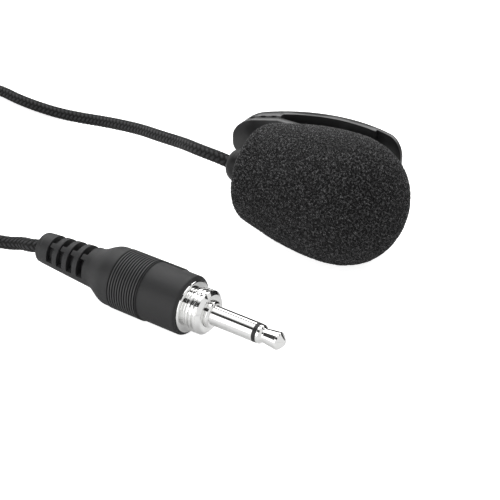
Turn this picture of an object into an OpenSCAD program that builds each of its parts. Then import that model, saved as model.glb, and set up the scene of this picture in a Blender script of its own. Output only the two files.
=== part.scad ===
// Lavalier microphone: a small electret capsule in a turned barrel, under a
// foam windscreen, carried by a sprung tie clip, on a braided lead that ends in
// a locking 3.5 mm plug.
//
// Frame: +Z up, standing surface at z = 0. The microphone's axis lies along X,
// with the nose of the windscreen towards +X and the clip on the +Y side. The
// origin is under the middle of the head and its clip. Millimetres, degrees.

/* [Windscreen] */
// Radius of the foam at its widest ring
foam_r = 12.35; // [11:0.05:15]
// Distance from the foam's open rear end to its widest ring
foam_body_len = 18.5; // [17:0.05:24]
// Length of the rounded nose in front of the widest ring
foam_nose_len = 13.3; // [8:0.05:16]
// Fullness of the nose: 2 is half an ellipse, and more is blunter
foam_nose_power = 2.25; // [2:0.05:2.6]
// Radius of the foam at its rear end, before the edge is rounded
foam_rear_r = 9.35; // [9:0.05:10.9]
// Rounding of the rear edge
foam_edge_r = 1.8; // [1:0.1:3]
// Air left in front of the barrel's grille cap
foam_front_gap = 0.3; // [0.2:0.05:2]
// Air left between the barrel and the foam
foam_gap = 0.15; // [0.1:0.05:0.5]
// Air left in front of the clip's ring
foam_recess_gap = 0.6; // [0.2:0.1:2]

/* [Housing] */
// Radius of the microphone barrel
barrel_r = 4.25; // [4.15:0.05:4.7]
// Length of the barrel
barrel_len = 18.1; // [16:0.1:20]
// How far the barrel stands out of the foam at the rear
barrel_out = 2.4; // [2.3:0.1:3.5]
// Depth of the groove that the clip's ring turns in
groove_depth = 0.35; // [0.2:0.05:0.5]
// Chamfer on the barrel's edges
barrel_chamfer = 0.3; // [0.1:0.05:0.5]
// Thickness of the grille cap on the front end
cap_t = 0.9; // [0.6:0.1:1]
// Radius of each hole in the grille cap
cap_hole_r = 0.45; // [0.3:0.05:0.6]
// Radius of the circle that the outer holes lie on
cap_hole_ring_r = 1.9; // [1.6:0.1:2.4]
// Number of holes on that circle
cap_holes = 6; // [4:1:8]
// Thickness of the wire mesh behind the grille cap
mesh_t = 0.2; // [0.1:0.05:0.4]
// Thickness of the felt behind the mesh
felt_t = 0.3; // [0.2:0.05:0.6]

/* [Capsule] */
// Radius of the capsule's can
can_r = 3; // [2.9:0.05:3.15]
// Thickness of the rubber sleeve that holds the can in the barrel
gasket_t = 0.26; // [0.2:0.02:0.4]
// Length of the capsule's can
can_len = 4.35; // [4.3:0.05:5]
// Wall of the can
can_wall = 0.25; // [0.15:0.05:0.3]
// Thickness of the can's front wall
can_front_t = 0.3; // [0.2:0.05:0.5]
// Radius of the sound inlet in the can's front wall
can_inlet_r = 0.8; // [0.4:0.1:1.5]
// Thickness of the circuit board at the capsule's rear
board_t = 0.6; // [0.4:0.05:0.8]
// Thickness of the metal ring that the diaphragm is stretched on
ring_t = 0.3; // [0.2:0.05:0.4]
// Thickness of the diaphragm
diaphragm_t = 0.06; // [0.05:0.01:0.1]
// Thickness of the spacer that sets the diaphragm's air gap
spacer_t = 0.1; // [0.08:0.01:0.2]
// Thickness of the perforated backplate
backplate_t = 0.4; // [0.3:0.05:0.6]
// Radial width of the capsule's rings
ring_w = 0.4; // [0.3:0.05:0.5]
// Length of the transistor on the board
fet_len = 1; // [0.8:0.05:1.1]
// Width of the transistor
fet_w = 1.6; // [1.2:0.1:2]
// Height of each solder joint
solder_h = 0.5; // [0.3:0.05:0.8]

/* [Gland] */
// Radius of the rubber gland's dome
gland_r = 3.5; // [3.4:0.05:4.1]
// Length of the gland outside the barrel
gland_len = 3.3; // [2.5:0.1:6]
// Fullness of the dome: 2 is half an ellipse, and more is blunter
gland_power = 2.7; // [2:0.1:4]
// Length of the gland's stem inside the barrel
gland_stem_len = 4.1; // [3:0.1:4.5]
// Length of the crimp that stops the cable from being pulled out
anchor_len = 2; // [1.5:0.1:2.5]
// Radial wall of that crimp
anchor_wall = 0.7; // [0.5:0.05:1]

/* [Clip] */
// Height of the clip across its width
clip_h = 8.6; // [8:0.1:12]
// Length of the jaw tips behind the foam's rear end
clip_tip_len = 11; // [10:0.1:13]
// Distance from the foam's rear end to the end of the grip
clip_grip_len = 22.2; // [21:0.1:24]
// Rounding of the grip's and the tips' corners, seen from the front
clip_corner_r = 3.6; // [1:0.1:4]
// Air between the widest ring of the foam and the fixed jaw
clip_gap = 0.75; // [0.5:0.05:2]
// Thickness of the fixed jaw
jaw_t = 1.5; // [1.2:0.05:1.8]
// Distance from the foam's rear end to the fixed jaw's front end
jaw_front_len = 20.3; // [19:0.1:21]
// Radius of the sprung jaw's outer face
lever_arc_r = 26.5; // [26:0.1:30]
// Distance along the axis from the foam's rear end to the middle of that arc
lever_arc_x = 10.3; // [9.8:0.1:10.8]
// Height of the sprung jaw's highest line above the fixed jaw's inner face
lever_rise = 8.85; // [8.6:0.05:10]
// Thickness of the sprung jaw
lever_t = 1.5; // [1.3:0.05:1.7]
// Thickness of the sprung jaw at the end of its grip
lever_end_t = 0.75; // [0.6:0.05:1.2]
// Length of the thin end of the grip
lever_end_len = 6.7; // [4:0.1:8]
// Slope of the line on which the two jaws meet
bite_angle = 33.5; // [31:0.1:35]
// Length of the bite along the axis
bite_len = 7.3; // [6.8:0.1:7.4]
// Depth of the notches between the teeth of each jaw
notch_depth = 0.3; // [0.2:0.05:0.4]
// Distance from one notch to the next
notch_pitch = 2.15; // [1.9:0.05:2.3]
// Number of notches across each jaw's bite
notch_count = 3; // [2:1:3]
// Width of a notch at its mouth
notch_w = 1.3; // [0.8:0.05:1.5]
// Thickness of the fixed jaw's tips under the teeth
tip_t = 1.6; // [1.3:0.05:2]
// Air between the closed jaws
bite_gap = 0.12; // [0.08:0.01:0.3]
// Distance along the axis from the foam's rear end to the pivot
pivot_x = 8.3; // [7.5:0.1:9]
// Height of the pivot above the fixed jaw's inner face
pivot_rise = 3.9; // [3.7:0.05:4.2]
// Radius of the pivot pin
pin_r = 0.6; // [0.5:0.05:0.7]
// Radius of the pin's upset heads
pin_head_r = 0.9; // [0.8:0.05:1.1]
// Thickness of the pin's heads
pin_head_t = 0.3; // [0.2:0.05:0.4]
// Radius of the ears around the pin
ear_r = 1.45; // [1.35:0.05:1.6]
// Thickness of each of the sprung jaw's ears
lever_ear_t = 0.75; // [0.6:0.05:0.9]
// Thickness of each of the fixed jaw's ears
jaw_ear_t = 0.8; // [0.6:0.05:0.9]
// Distance between the sprung jaw's ears
lever_ear_space = 2.4; // [2.3:0.05:2.6]
// Radius of the spring's wire
spring_wire_r = 0.2; // [0.15:0.01:0.22]
// Radius from the pin's axis to the middle of the wire
spring_coil_r = 1.05; // [0.9:0.01:1.1]
// Reach of the spring's legs from the pivot along the axis
spring_leg_len = 6; // [4:0.1:7]
// Width along the axis of the ring that snaps around the barrel
clip_ring_w = 3.6; // [3:0.1:3.8]
// Wall of that ring
clip_ring_wall = 1.3; // [1:0.05:1.3]
// Angle left open in the ring
clip_ring_mouth = 50; // [30:1:90]
// Width of the neck from the ring to the fixed jaw
neck_w = 4; // [3:0.1:6]
// Thickness of the neck
neck_t = 2.85; // [2:0.05:3]
// Air between the neck and the foam's rear end
neck_gap = 0.35; // [0.2:0.05:0.5]

/* [Cable] */
// Diameter of the braided cable
cable_d = 2.7; // [2.4:0.05:2.8]
// Radius of each insulated wire in the cable
wire_r = 0.3; // [0.2:0.05:0.4]
// Distance of each wire from the cable's axis
wire_offset = 0.6; // [0.5:0.05:0.8]
// Turns of cable side by side in the coil
coil_columns = 3; // [2:1:3]
// Layers of cable in the coil
coil_layers = 4; // [2:1:5]
// Radius of the innermost turn
coil_inner_r = 10.8; // [10.5:0.1:12]
// Thickness of the tie around the coil
tie_t = 0.6; // [0.4:0.1:1]
// Width of the tie
tie_w = 5; // [3:0.5:8]

/* [Plug] */
// Radius of the plug's 3.5 mm shaft
shaft_r = 1.75; // [1.7:0.01:1.8]
// Length of the tip contact, from its point to the insulating ring
tip_len = 4.85; // [4.5:0.05:5.2]
// Radius of the tip's ball where it is widest
tip_head_r = 1.6; // [1.5:0.01:1.7]
// Radius of the tip's waist, where a socket's spring rests
tip_waist_r = 1.28; // [1.1:0.01:1.4]
// Length of the insulating ring
tip_ring_len = 0.7; // [0.5:0.05:0.9]
// Length of the plain shaft behind the insulating ring
shaft_len = 8.45; // [8:0.05:10]
// Radius of the step at the shaft's root
boss_r = 2.4; // [2.2:0.05:2.5]
// Length of the step in front of the locking collar
boss_len = 0.8; // [0.5:0.05:1.2]
// Outer radius of the locking thread
thread_r = 4; // [3.9:0.05:4.2]
// Pitch of the locking thread
thread_pitch = 0.75; // [0.7:0.05:0.8]
// Crests of the locking thread
thread_crests = 3; // [2:1:3]
// Depth of the locking thread
thread_depth = 0.4; // [0.3:0.05:0.45]
// Radius of the flange behind the thread
flange_r = 4.74; // [4.6:0.02:4.8]
// Thickness of the flange
flange_t = 0.5; // [0.4:0.05:0.8]
// Radius of the moulded grip at its smooth band
grip_r = 5.4; // [5.3:0.05:5.5]
// Radius of the moulded grip over its grooves
groove_band_r = 5.6; // [5.55:0.05:5.8]
// Length of the smooth band
smooth_len = 8; // [6:0.1:10]
// Number of grooves all the way round the grip
groove_count = 12; // [8:1:12]
// Number of further grooves on the back of the smooth band
back_groove_count = 8; // [4:1:9]
// Distance from one groove to the next
groove_pitch = 0.533; // [0.5:0.001:0.56]
// Depth of each groove
grip_groove_depth = 0.16; // [0.1:0.01:0.18]
// Length from the last groove to the end of the strain relief
relief_tail_len = 19.1; // [19:0.1:21]
// Radius of the strain relief where it leaves the grip
relief_front_r = 3.75; // [3.5:0.05:4.2]
// Radius of the strain relief at its rear end
relief_rear_r = 2.9; // [2.8:0.05:3.3]
// Number of slots in the strain relief
slot_count = 4; // [2:1:4]
// Distance from one slot to the next
slot_pitch = 2.5; // [2.3:0.05:2.6]
// Width of each slot
slot_w = 1.35; // [0.9:0.05:1.5]
// Distance from the rear end to the middle of the last slot
slot_end_len = 3.7; // [3.2:0.05:4]
// Wall left around the cable under the slots
slot_core_wall = 0.8; // [0.7:0.05:0.9]
// Radius of the hard inner body under the grip
premould_r = 4; // [3.8:0.05:4.2]
// Radius of the cavity in the inner body, where the wires are soldered
cavity_r = 2.6; // [2.55:0.05:2.8]
// Thickness of the two solder lugs
lug_t = 0.3; // [0.2:0.05:0.4]
// Length of the two solder lugs
lug_len = 4.3; // [3:0.1:5]
// Length of the crimp on the cable inside the plug
crimp_len = 3; // [2:0.1:3.4]

/* [Fits] */
// Radial clearance of a pushed-in or moulded-in piece
press_gap = 0.02; // [0.01:0.01:0.03]
// Radial clearance of a piece that turns on another
run_gap = 0.05; // [0.03:0.01:0.1]
// Clearance beside a piece that turns or slides
side_gap = 0.1; // [0.05:0.01:0.15]

/* [Hidden] */

$fn = 96;
// How far a cut runs past the face it opens
cut = 1;

// Place of the head: the foam's rear end, on the microphone's axis
head_x = -10.6;
head_y = -4.8;
axis_z = foam_r;
// Place of the plug's point, on the plug's axis
plug_x = 18.7;
plug_y = -40.4;
plug_z = groove_band_r;
// Middle of the cable's coil
coil_x = -86.8;
coil_y = -27.5;
// Direction of the tie from the coil's middle
tie_angle = 135;
// Ends of the cable inside the head and inside the plug
head_cable_x = -6;
plug_cable_x = -13.3;

cable_r = cable_d / 2;
cable_hole_r = cable_r + run_gap;
coil_pitch = cable_d + side_gap;

// Head, along its axis from the foam's rear end
barrel_front = barrel_len - barrel_out;
foam_bore_len = barrel_front + cap_t + foam_front_gap;
foam_recess_len = clip_ring_w / 2 + foam_recess_gap;
bore_r = can_r + gasket_t + 2 * press_gap;
can_front = barrel_front - mesh_t - felt_t;
can_rear = can_front - can_len;
// Thickness of the lip that is rolled over the board
can_lip_t = can_wall;
board_front = can_rear + can_lip_t + board_t;
stack_front = can_front - can_front_t;
diaphragm_front = stack_front - ring_t;
spacer_front = diaphragm_front - diaphragm_t;
backplate_front = spacer_front - spacer_t;
holder_front = backplate_front;
backplate_rear = backplate_front - backplate_t;
stack_r = can_r - can_wall - run_gap;
backplate_r = stack_r - ring_w;
backplate_hole_r = 0.3;

// Clip, measured from the microphone's axis
jaw_y = foam_r + clip_gap;
jaw_top = jaw_y + jaw_t;
lever_arc_y = jaw_y + lever_rise - lever_arc_r;
pivot_y = jaw_y + pivot_rise;
bite_end_x = bite_len - clip_tip_len;
// The line of the bite starts a little above the fixed jaw's top
bite_step = 0.35;
bite_end_y = jaw_top + bite_step;
bite_length = bite_len / cos(bite_angle);
groove_half_w = clip_ring_w / 2 + side_gap;
clip_ring_r = barrel_r - groove_depth + run_gap;
ring_out_r = clip_ring_r + clip_ring_wall;
ear_lever_w = lever_ear_space / 2;
ear_jaw_w = ear_lever_w + lever_ear_t + side_gap;
pin_half = ear_jaw_w + jaw_ear_t;
spring_pitch = 2 * spring_wire_r + run_gap;

// Plug, from its point backwards
insulator_s = tip_len + tip_ring_len;
boss_s = insulator_s + shaft_len;
collar_s = boss_s + boss_len;
collar_chamfer = 0.6;
// Length of the plain runout behind the thread, and of the slope up to the flange
runout_len = 0.55;
flange_slope_len = 0.2;
thread_s = collar_s + collar_chamfer;
thread_end_s = thread_s + thread_crests * thread_pitch;
neck_s = thread_end_s + runout_len;
flange_s = neck_s + flange_slope_len;
grip_s = flange_s + flange_t;
groove_s = grip_s + smooth_len;
groove_end_s = groove_s + groove_count * groove_pitch;
relief_end_s = groove_end_s + relief_tail_len;
// How far the collar and the sleeve reach into the grip
collar_tail_len = 4;
sleeve_tail_len = 1.5;
collar_tail_s = grip_s + collar_tail_len;
sleeve_end_s = grip_s + sleeve_tail_len;
// The tip: its blunt point, its ball, its waist, and the collar at the insulating ring
tip_point_r = 0.45;
tip_head_s = 1.15;
tip_waist_s = 3.65;
tip_collar_len = 0.5;
tip_collar_slope = 0.45;
tip_collar_r = shaft_r - run_gap;
rod_r = 0.7;
rod_sheath_r = 1.1;
rear_insulator_t = 0.8;
// Distance of the lugs from the axis, and their width
lug_z = 1.6;
lug_w = 1.4;
lug_s = sleeve_end_s + lug_t;
cavity_len = 7.4;
cavity_end_s = collar_tail_s + cavity_len;
crimp_s = cavity_end_s + side_gap;
premould_wall = 1.5;
premould_end_s = crimp_s + crimp_len + premould_wall;
// The flare from the grip to the strain relief
flare_gap = 1.8;
flare_s = groove_end_s + flare_gap;
flare_len = 4.75;
flare_r = groove_band_r - side_gap;
// Edges of the grip's smooth panel, and the ends of the slots and of the slits
// behind the bridges between them: angles about the plug from +Y towards +Z
panel_from = 60;
panel_to = 250;
SLOTS = [[131, 186], [240, 295], [-47, 113]];
SLITS = [[112, 132], [294, 314]];

// Routes of the cable's middle line. They start inside the crimps.
MIC_ROUTE = [
    [head_cable_x, -4.8, 12.35], [-11, -4.8, 12.35], [-16, -4.8, 12.35], [-19.6, -4.6, 12.5],
    [-24.7, -3.5, 12], [-28.3, -2, 11.2], [-32.4, 0.1, 9.9], [-39.8, 2.9, 8],
    [-47.6, 5.9, 6], [-54.6, 7.5, 4.5], [-61.5, 8.7, 3], [-67.7, 8.8, 2.1],
    [-74, 8.8, 1.5], [-80.3, 8.8, 1.35], [-87, 9.2, 1.35], [-94.5, 10.2, 1.35],
    [-100.3, 9.5, 1.35], [-104.8, 5.4, 1.35], [-106.2, -0.6, 1.35],
    [-105.6, -9, 1.35], [-104, -18, 1.35], [-103.2, -27.5, 1.35]
];
PLUG_ROUTE = [
    [-86.8, -43.9, 9.45], [-82.3, -43.9, 9.2], [-77.8, -43.9, 8.2], [-69.8, -43.4, 5],
    [-61.8, -42.2, 2.5], [-54.8, -40.8, 1.5], [-48.3, -39.8, 1.6], [-43.8, -39.6, 2.4],
    [-40.3, -39.7, 3.6], [-37.1, -40.4, 4.7], [-35, -40.4, 5.3], [-33, -40.4, 5.6],
    [-22.3, -40.4, 5.6], [plug_cable_x, -40.4, 5.6]
];

// ---- helpers ----

// Turns x of a piece of the head, and its radius, into place on the axis
module on_head(x = 0)
    translate([head_x + x, head_y, axis_z]) rotate([0, 90, 0]) children();

// Ring on the head's axis, from x0 to x1
module head_ring(x0, x1, outer_r, inner_r = 0)
    on_head(x0) difference() {
        cylinder(h = x1 - x0, r = outer_r);
        if (inner_r > 0) translate([0, 0, -cut]) cylinder(h = x1 - x0 + 2 * cut, r = inner_r);
    }

// A plan of the clip, raised to its height between two levels from its middle
module clip_slab(low, high)
    translate([head_x, head_y, axis_z + low]) linear_extrude(high - low) children();

// Both of a pair of slabs that lie evenly about the clip's middle
module clip_pair(near, far) {
    clip_slab(near, far) children();
    clip_slab(-far, -near) children();
}

// Rectangle from [x0, y0] to [x1, y1] with round corners
module round_rect(x0, y0, x1, y1, r) {
    translate([x0 + r, y0]) square([x1 - x0 - 2 * r, y1 - y0]);
    translate([x0, y0 + r]) square([x1 - x0, y1 - y0 - 2 * r]);
    for (x = [x0 + r, x1 - r], y = [y0 + r, y1 - r]) translate([x, y]) circle(r);
}

// Everything within the clip's front outline, which has round corners
module clip_outline(x1)
    translate([head_x, head_y + jaw_top + lever_arc_r, axis_z]) rotate([90, 0, 0])
        linear_extrude(2 * lever_arc_r)
            round_rect(-clip_tip_len, -clip_h / 2, x1, clip_h / 2, clip_corner_r);

// Places a shape on the line of the bite: +X along it to the pivot, +Y outwards
module on_bite()
    translate([bite_end_x, bite_end_y]) rotate(bite_angle) translate([-bite_length, 0])
        children();

// A row of notches down into a jaw from the line of the bite, which leave its teeth
module notches()
    for (i = [0 : notch_count - 1]) translate([bite_length - (i + 0.6) * notch_pitch, 0])
        polygon([[-notch_w / 2, cut], [-notch_w / 2, 0], [-notch_w / 4, -notch_depth],
                 [notch_w / 4, -notch_depth], [notch_w / 2, 0], [notch_w / 2, cut]]);

// Plan of an ear around the pivot, from the jaw that carries it
module ear_plan(root_y) {
    translate([pivot_x, pivot_y]) circle(ear_r);
    translate([pivot_x - ear_r, min(root_y, pivot_y)])
        square([2 * ear_r, abs(root_y - pivot_y)]);
}

module pin_hole(gap)
    translate([head_x + pivot_x, head_y + pivot_y, axis_z - pin_half - cut])
        cylinder(h = 2 * (pin_half + cut), r = pin_r + gap);

// Places a turned shape on the plug's axis, its height running back from the point
module on_plug(s = 0)
    translate([plug_x - s, plug_y, plug_z]) rotate([0, -90, 0]) children();

// Ring on the plug's axis, from s0 to s1
module plug_ring(s0, s1, outer_r, inner_r = 0)
    on_plug(s0) difference() {
        cylinder(h = s1 - s0, r = outer_r);
        if (inner_r > 0) translate([0, 0, -cut]) cylinder(h = s1 - s0 + 2 * cut, r = inner_r);
    }

// Part of a ring on the plug's axis, between two angles from +Y towards +Z
module plug_sector(s0, s1, inner_r, outer_r, from, to)
    on_plug() rotate([0, 0, 90 - to]) rotate_extrude(angle = to - from)
        translate([inner_r, s0]) square([outer_r - inner_r, s1 - s0]);

function unit(v) = v / norm(v);
// Direction of a route at its point i
function heading(p, i) = unit(p[min(i + 1, len(p) - 1)] - p[max(i - 1, 0)]);
// Ring of points around a route at its point i
function ring_at(p, i, r, sides) =
    let (t = heading(p, i), side = unit(cross(t, [0, 0, 1])), up = cross(side, t))
    [for (k = [0 : sides - 1]) p[i] + r * (cos(360 * k / sides) * side + sin(360 * k / sides) * up)];

// Closed tube along a route
module tube(route, r, sides = 8) {
    rings = len(route);
    points = [for (i = [0 : rings - 1]) each ring_at(route, i, r, sides)];
    walls = [for (i = [0 : rings - 2], k = [0 : sides - 1]) let (n = (k + 1) % sides)
        [i * sides + k, (i + 1) * sides + k, (i + 1) * sides + n, i * sides + n]];
    first = [for (k = [0 : sides - 1]) k];
    last = [for (k = [sides - 1 : -1 : 0]) (rings - 1) * sides + k];
    polyhedron(points, concat(walls, [first, last]));
}

// ---- head ----

// Radius of the foam at a distance x from its rear end
function foam_radius(x) =
    x > foam_body_len
    ? foam_r * pow(max(0, 1 - pow((x - foam_body_len) / foam_nose_len, foam_nose_power)),
                   1 / foam_nose_power)
    : foam_rear_r + (foam_r - foam_rear_r) * sin(90 * x / foam_body_len)
      - (x < foam_edge_r ? foam_edge_r - sqrt(pow(foam_edge_r, 2) - pow(foam_edge_r - x, 2)) : 0);

module foam_windscreen() color("#2a2a2b") {
    edge_steps = 6;
    body_steps = 12;
    nose_steps = 14;
    outline = concat(
        [for (i = [0 : edge_steps]) foam_edge_r * (1 - cos(90 * i / edge_steps))],
        [for (i = [1 : body_steps]) foam_edge_r + (foam_body_len - foam_edge_r) * i / body_steps],
        [for (i = [1 : nose_steps]) foam_body_len + foam_nose_len * sin(90 * i / nose_steps)]);
    bore = barrel_r + foam_gap;
    recess = ring_out_r + foam_gap + side_gap;
    on_head() rotate_extrude() polygon(concat(
        [[0, foam_bore_len], [bore, foam_bore_len], [bore, foam_recess_len],
         [recess, foam_recess_len], [recess, 0]],
        [for (x = outline) [foam_radius(x), x]]));
}

module housing_barrel() color("#232426") {
    groove_r = barrel_r - groove_depth;
    c = barrel_chamfer;
    on_head() rotate_extrude() polygon([
        [bore_r, -barrel_out], [barrel_r - c, -barrel_out], [barrel_r, c - barrel_out],
        [barrel_r, -groove_half_w], [groove_r, -groove_half_w],
        [groove_r, groove_half_w], [barrel_r, groove_half_w],
        [barrel_r, barrel_front], [bore_r, barrel_front]]);
}

module grille_cap() color("#232426") on_head(barrel_front) difference() {
    rotate_extrude() polygon([[0, 0], [barrel_r, 0], [barrel_r, cap_t - barrel_chamfer],
                              [barrel_r - barrel_chamfer, cap_t], [0, cap_t]]);
    translate([0, 0, -cut]) {
        cylinder(h = cap_t + 2 * cut, r = cap_hole_r);
        for (i = [0 : cap_holes - 1]) rotate(360 * i / cap_holes)
            translate([cap_hole_ring_r, 0, 0]) cylinder(h = cap_t + 2 * cut, r = cap_hole_r);
    }
}

module grille_mesh() color("silver")
    head_ring(barrel_front - mesh_t, barrel_front, bore_r - press_gap);

module dust_felt() color("#303030")
    head_ring(can_front, can_front + felt_t, can_r - side_gap);

module capsule_can() color("#c9cbce") on_head() rotate_extrude() polygon([
    [can_inlet_r, can_front], [can_r, can_front], [can_r, can_rear],
    [can_r - 2 * can_wall, can_rear], [can_r - 2 * can_wall, can_rear + can_lip_t],
    [can_r - can_wall, can_rear + can_lip_t], [can_r - can_wall, stack_front],
    [can_inlet_r, stack_front]]);

module diaphragm_ring() color("#b9925a")
    head_ring(diaphragm_front, stack_front, stack_r, stack_r - ring_w);

module diaphragm() color("#d9d4c4")
    head_ring(spacer_front, diaphragm_front, stack_r);

module spacer() color("#e8e4d8")
    head_ring(backplate_front, spacer_front, stack_r, stack_r - ring_w);

module backplate() color("#b9925a") difference() {
    head_ring(backplate_rear, backplate_front, backplate_r - run_gap);
    for (a = [0 : 90 : 270]) on_head(backplate_rear - cut) rotate(a)
        translate([backplate_r / 2, 0, 0]) cylinder(h = backplate_t + 2 * cut, r = backplate_hole_r);
}

module backplate_holder() color("#e6e1d0")
    head_ring(board_front, holder_front, stack_r, backplate_r);

module contact_ring() color("#b9925a")
    head_ring(board_front, backplate_rear, backplate_r - run_gap, backplate_r - ring_w);

module fet() color("#1c1c1c")
    translate([head_x + board_front, head_y - fet_w / 2, axis_z - fet_w / 2])
        cube([fet_len, fet_w, fet_w]);

module capsule_board() color("#2f6b3c")
    head_ring(board_front - board_t, board_front, stack_r);

module solder_joints() color("#b5b7ba")
    for (y = [-wire_offset, wire_offset])
        translate([head_x + board_front - board_t - solder_h, head_y + y, axis_z])
            rotate([0, 90, 0]) cylinder(h = solder_h, r1 = wire_r, r2 = wire_offset - side_gap);

module capsule_gasket() color("#232323")
    head_ring(can_rear, can_front - can_front_t, can_r + press_gap + gasket_t, can_r + press_gap);

// Wire from the end of the cable to its solder joint
module head_wire(y)
    translate([head_cable_x, head_y + y, axis_z]) rotate([0, 90, 0])
        cylinder(h = head_x + board_front - board_t - solder_h - head_cable_x, r = wire_r);

module signal_wire() color("#b8352c") head_wire(wire_offset);
module shield_wire() color("#c07c3c") head_wire(-wire_offset);

module cable_anchor() color("#b5b7ba") {
    x0 = gland_stem_len - barrel_out + side_gap / 2;
    head_ring(x0, x0 + anchor_len, cable_hole_r + anchor_wall, cable_hole_r);
}

module cable_gland() color("#1f1f20") {
    steps = 12;
    // Angle at which the dome has come down to the cable
    rear = acos(pow(cable_hole_r / gland_r, gland_power / 2));
    squeeze = (gland_len - run_gap) / pow(sin(rear), 2 / gland_power);
    on_head() rotate_extrude() polygon(concat(
        [for (i = [0 : steps]) let (a = rear * (1 - i / steps))
            [gland_r * pow(cos(a), 2 / gland_power),
             -barrel_out - run_gap - squeeze * pow(sin(a), 2 / gland_power)]],
        [[gland_r, -barrel_out], [bore_r - press_gap, -barrel_out],
         [bore_r - press_gap, gland_stem_len - barrel_out],
         [cable_hole_r, gland_stem_len - barrel_out]]));
}

// ---- clip ----

// Plan of the fixed jaw without its teeth. The tips are cut to length by the outline.
module fixed_jaw_plan() {
    past = clip_tip_len + cut;
    drop = (past + bite_end_x) * tan(bite_angle);
    polygon([[-past, bite_end_y - drop - tip_t], [-neck_t - neck_gap, jaw_y],
             [jaw_front_len + cut, jaw_y], [jaw_front_len + cut, jaw_top],
             [bite_end_x + jaw_t / 4, jaw_top], [bite_end_x, bite_end_y],
             [-past, bite_end_y - drop]]);
}

module clip_fixed_jaw() color("#161617") difference() {
    union() {
        intersection() {
            clip_slab(-clip_h / 2, clip_h / 2) difference() {
                fixed_jaw_plan();
                on_bite() notches();
            }
            clip_outline(jaw_front_len);
        }
        clip_pair(ear_jaw_w, ear_jaw_w + jaw_ear_t) ear_plan(jaw_top - jaw_t / 2);
        clip_slab(-neck_w / 2, neck_w / 2)
            translate([-neck_gap - neck_t, clip_ring_r + clip_ring_wall / 2])
                square([neck_t, jaw_y + jaw_t / 3 - clip_ring_r - clip_ring_wall / 2]);
        head_ring(-clip_ring_w / 2, clip_ring_w / 2, ring_out_r, clip_ring_r);
    }
    pin_hole(press_gap);
    on_head(-clip_ring_w / 2 - cut) rotate(-90 - clip_ring_mouth / 2)
        rotate_extrude(angle = clip_ring_mouth) square([ring_out_r + cut, clip_ring_w + 2 * cut]);
}

module clip_pin() color("silver") translate([head_x + pivot_x, head_y + pivot_y, axis_z]) {
    translate([0, 0, -pin_half - press_gap]) cylinder(h = 2 * (pin_half + press_gap), r = pin_r);
    for (side = [0, 1]) mirror([0, 0, side]) translate([0, 0, pin_half + press_gap])
        cylinder(h = pin_head_t, r = pin_head_r);
}

// Closed turns of the spring around the pin, from one level to another
module spring_turns(from, to)
    translate([head_x + pivot_x, head_y + pivot_y, axis_z])
        for (i = [from : to]) translate([0, 0, i * spring_pitch])
            rotate_extrude() translate([spring_coil_r, 0]) circle(spring_wire_r, $fn = 24);

// Leg of the spring from the pin's near or far side to a point beside the jaw
module spring_leg(side, level, end) {
    start = [0, side * spring_coil_r];
    reach = end - start;
    translate([head_x + pivot_x + start[0], head_y + pivot_y + start[1], axis_z + level * spring_pitch])
        rotate([0, 0, atan2(reach[1], reach[0])]) rotate([0, 90, 0])
            cylinder(h = norm(reach), r = spring_wire_r - press_gap, $fn = 24);
}

module clip_spring() color("#c9cbce") {
    spring_turns(-2, 0);
    spring_leg(-1, -2, [spring_leg_len, jaw_top - pivot_y + spring_wire_r + side_gap / 3]);
}

// Plan of everything within the sprung jaw's arc, less a given thickness, between x0 and x1
module under_arc(t, x0, x1) intersection() {
    translate([lever_arc_x, lever_arc_y]) circle(lever_arc_r - t, $fn = 180);
    translate([x0, 0]) square([x1 - x0, 2 * lever_arc_r]);
}

module lever_plan() {
    thin_x = clip_grip_len - lever_end_len;
    difference() {
        under_arc(0, -clip_tip_len - cut, clip_grip_len + cut);
        under_arc(lever_t, bite_end_x, thin_x);
        under_arc(lever_end_t, thin_x, clip_grip_len + 2 * cut);
        on_bite() {
            translate([-2 * clip_tip_len, -4 * clip_tip_len])
                square([2 * clip_tip_len + bite_length, 4 * clip_tip_len + bite_gap]);
            translate([0, bite_gap]) mirror([0, 1]) notches();
        }
    }
}

module clip_lever() color("#161617") difference() {
    union() {
        intersection() {
            clip_slab(-clip_h / 2, clip_h / 2) lever_plan();
            clip_outline(clip_grip_len);
        }
        clip_pair(ear_lever_w, ear_lever_w + lever_ear_t)
            ear_plan(lever_arc_y + lever_arc_r - 2 * lever_t / 3);
    }
    pin_hole(run_gap);
}

module clip_spring_leg() color("#c9cbce") {
    leg_x = pivot_x + spring_leg_len;
    inner_r = lever_arc_r - lever_t - spring_wire_r;
    inner_y = lever_arc_y + sqrt(pow(inner_r, 2) - pow(leg_x - lever_arc_x, 2));
    spring_turns(1, 2);
    spring_leg(1, 1, [spring_leg_len, inner_y - pivot_y - side_gap]);
}

// ---- cable ----

module mic_cable() color("#2b2b2c") tube(MIC_ROUTE, cable_r);

// Outer shape of the wound turns. Turns side by side are a little apart.
module cable_coil() color("#2b2b2c") translate([coil_x, coil_y, 0]) rotate_extrude()
    round_rect(coil_inner_r - cable_r, 0,
               coil_inner_r + (coil_columns - 1) * coil_pitch + cable_r,
               coil_layers * cable_d, cable_r);

// Band around the wound turns. It sinks into them below, so that the coil lies flat.
module coil_tie() color("#1c1c1d") {
    width = (coil_columns - 1) * coil_pitch + cable_d;
    height = coil_layers * cable_d;
    middle_r = coil_inner_r - cable_r + width / 2;
    translate([coil_x, coil_y, 0]) rotate(tie_angle) translate([middle_r, 0, 0])
        rotate([90, 0, 0]) translate([0, 0, -tie_w / 2]) linear_extrude(tie_w) difference() {
            round_rect(-width / 2 - tie_t, 0, width / 2 + tie_t, height + tie_t, cable_r);
            round_rect(-width / 2, tie_t, width / 2, height, cable_r - tie_t / 2);
        }
}

module plug_cable() color("#2b2b2c") tube(PLUG_ROUTE, cable_r);

// ---- plug ----

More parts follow.
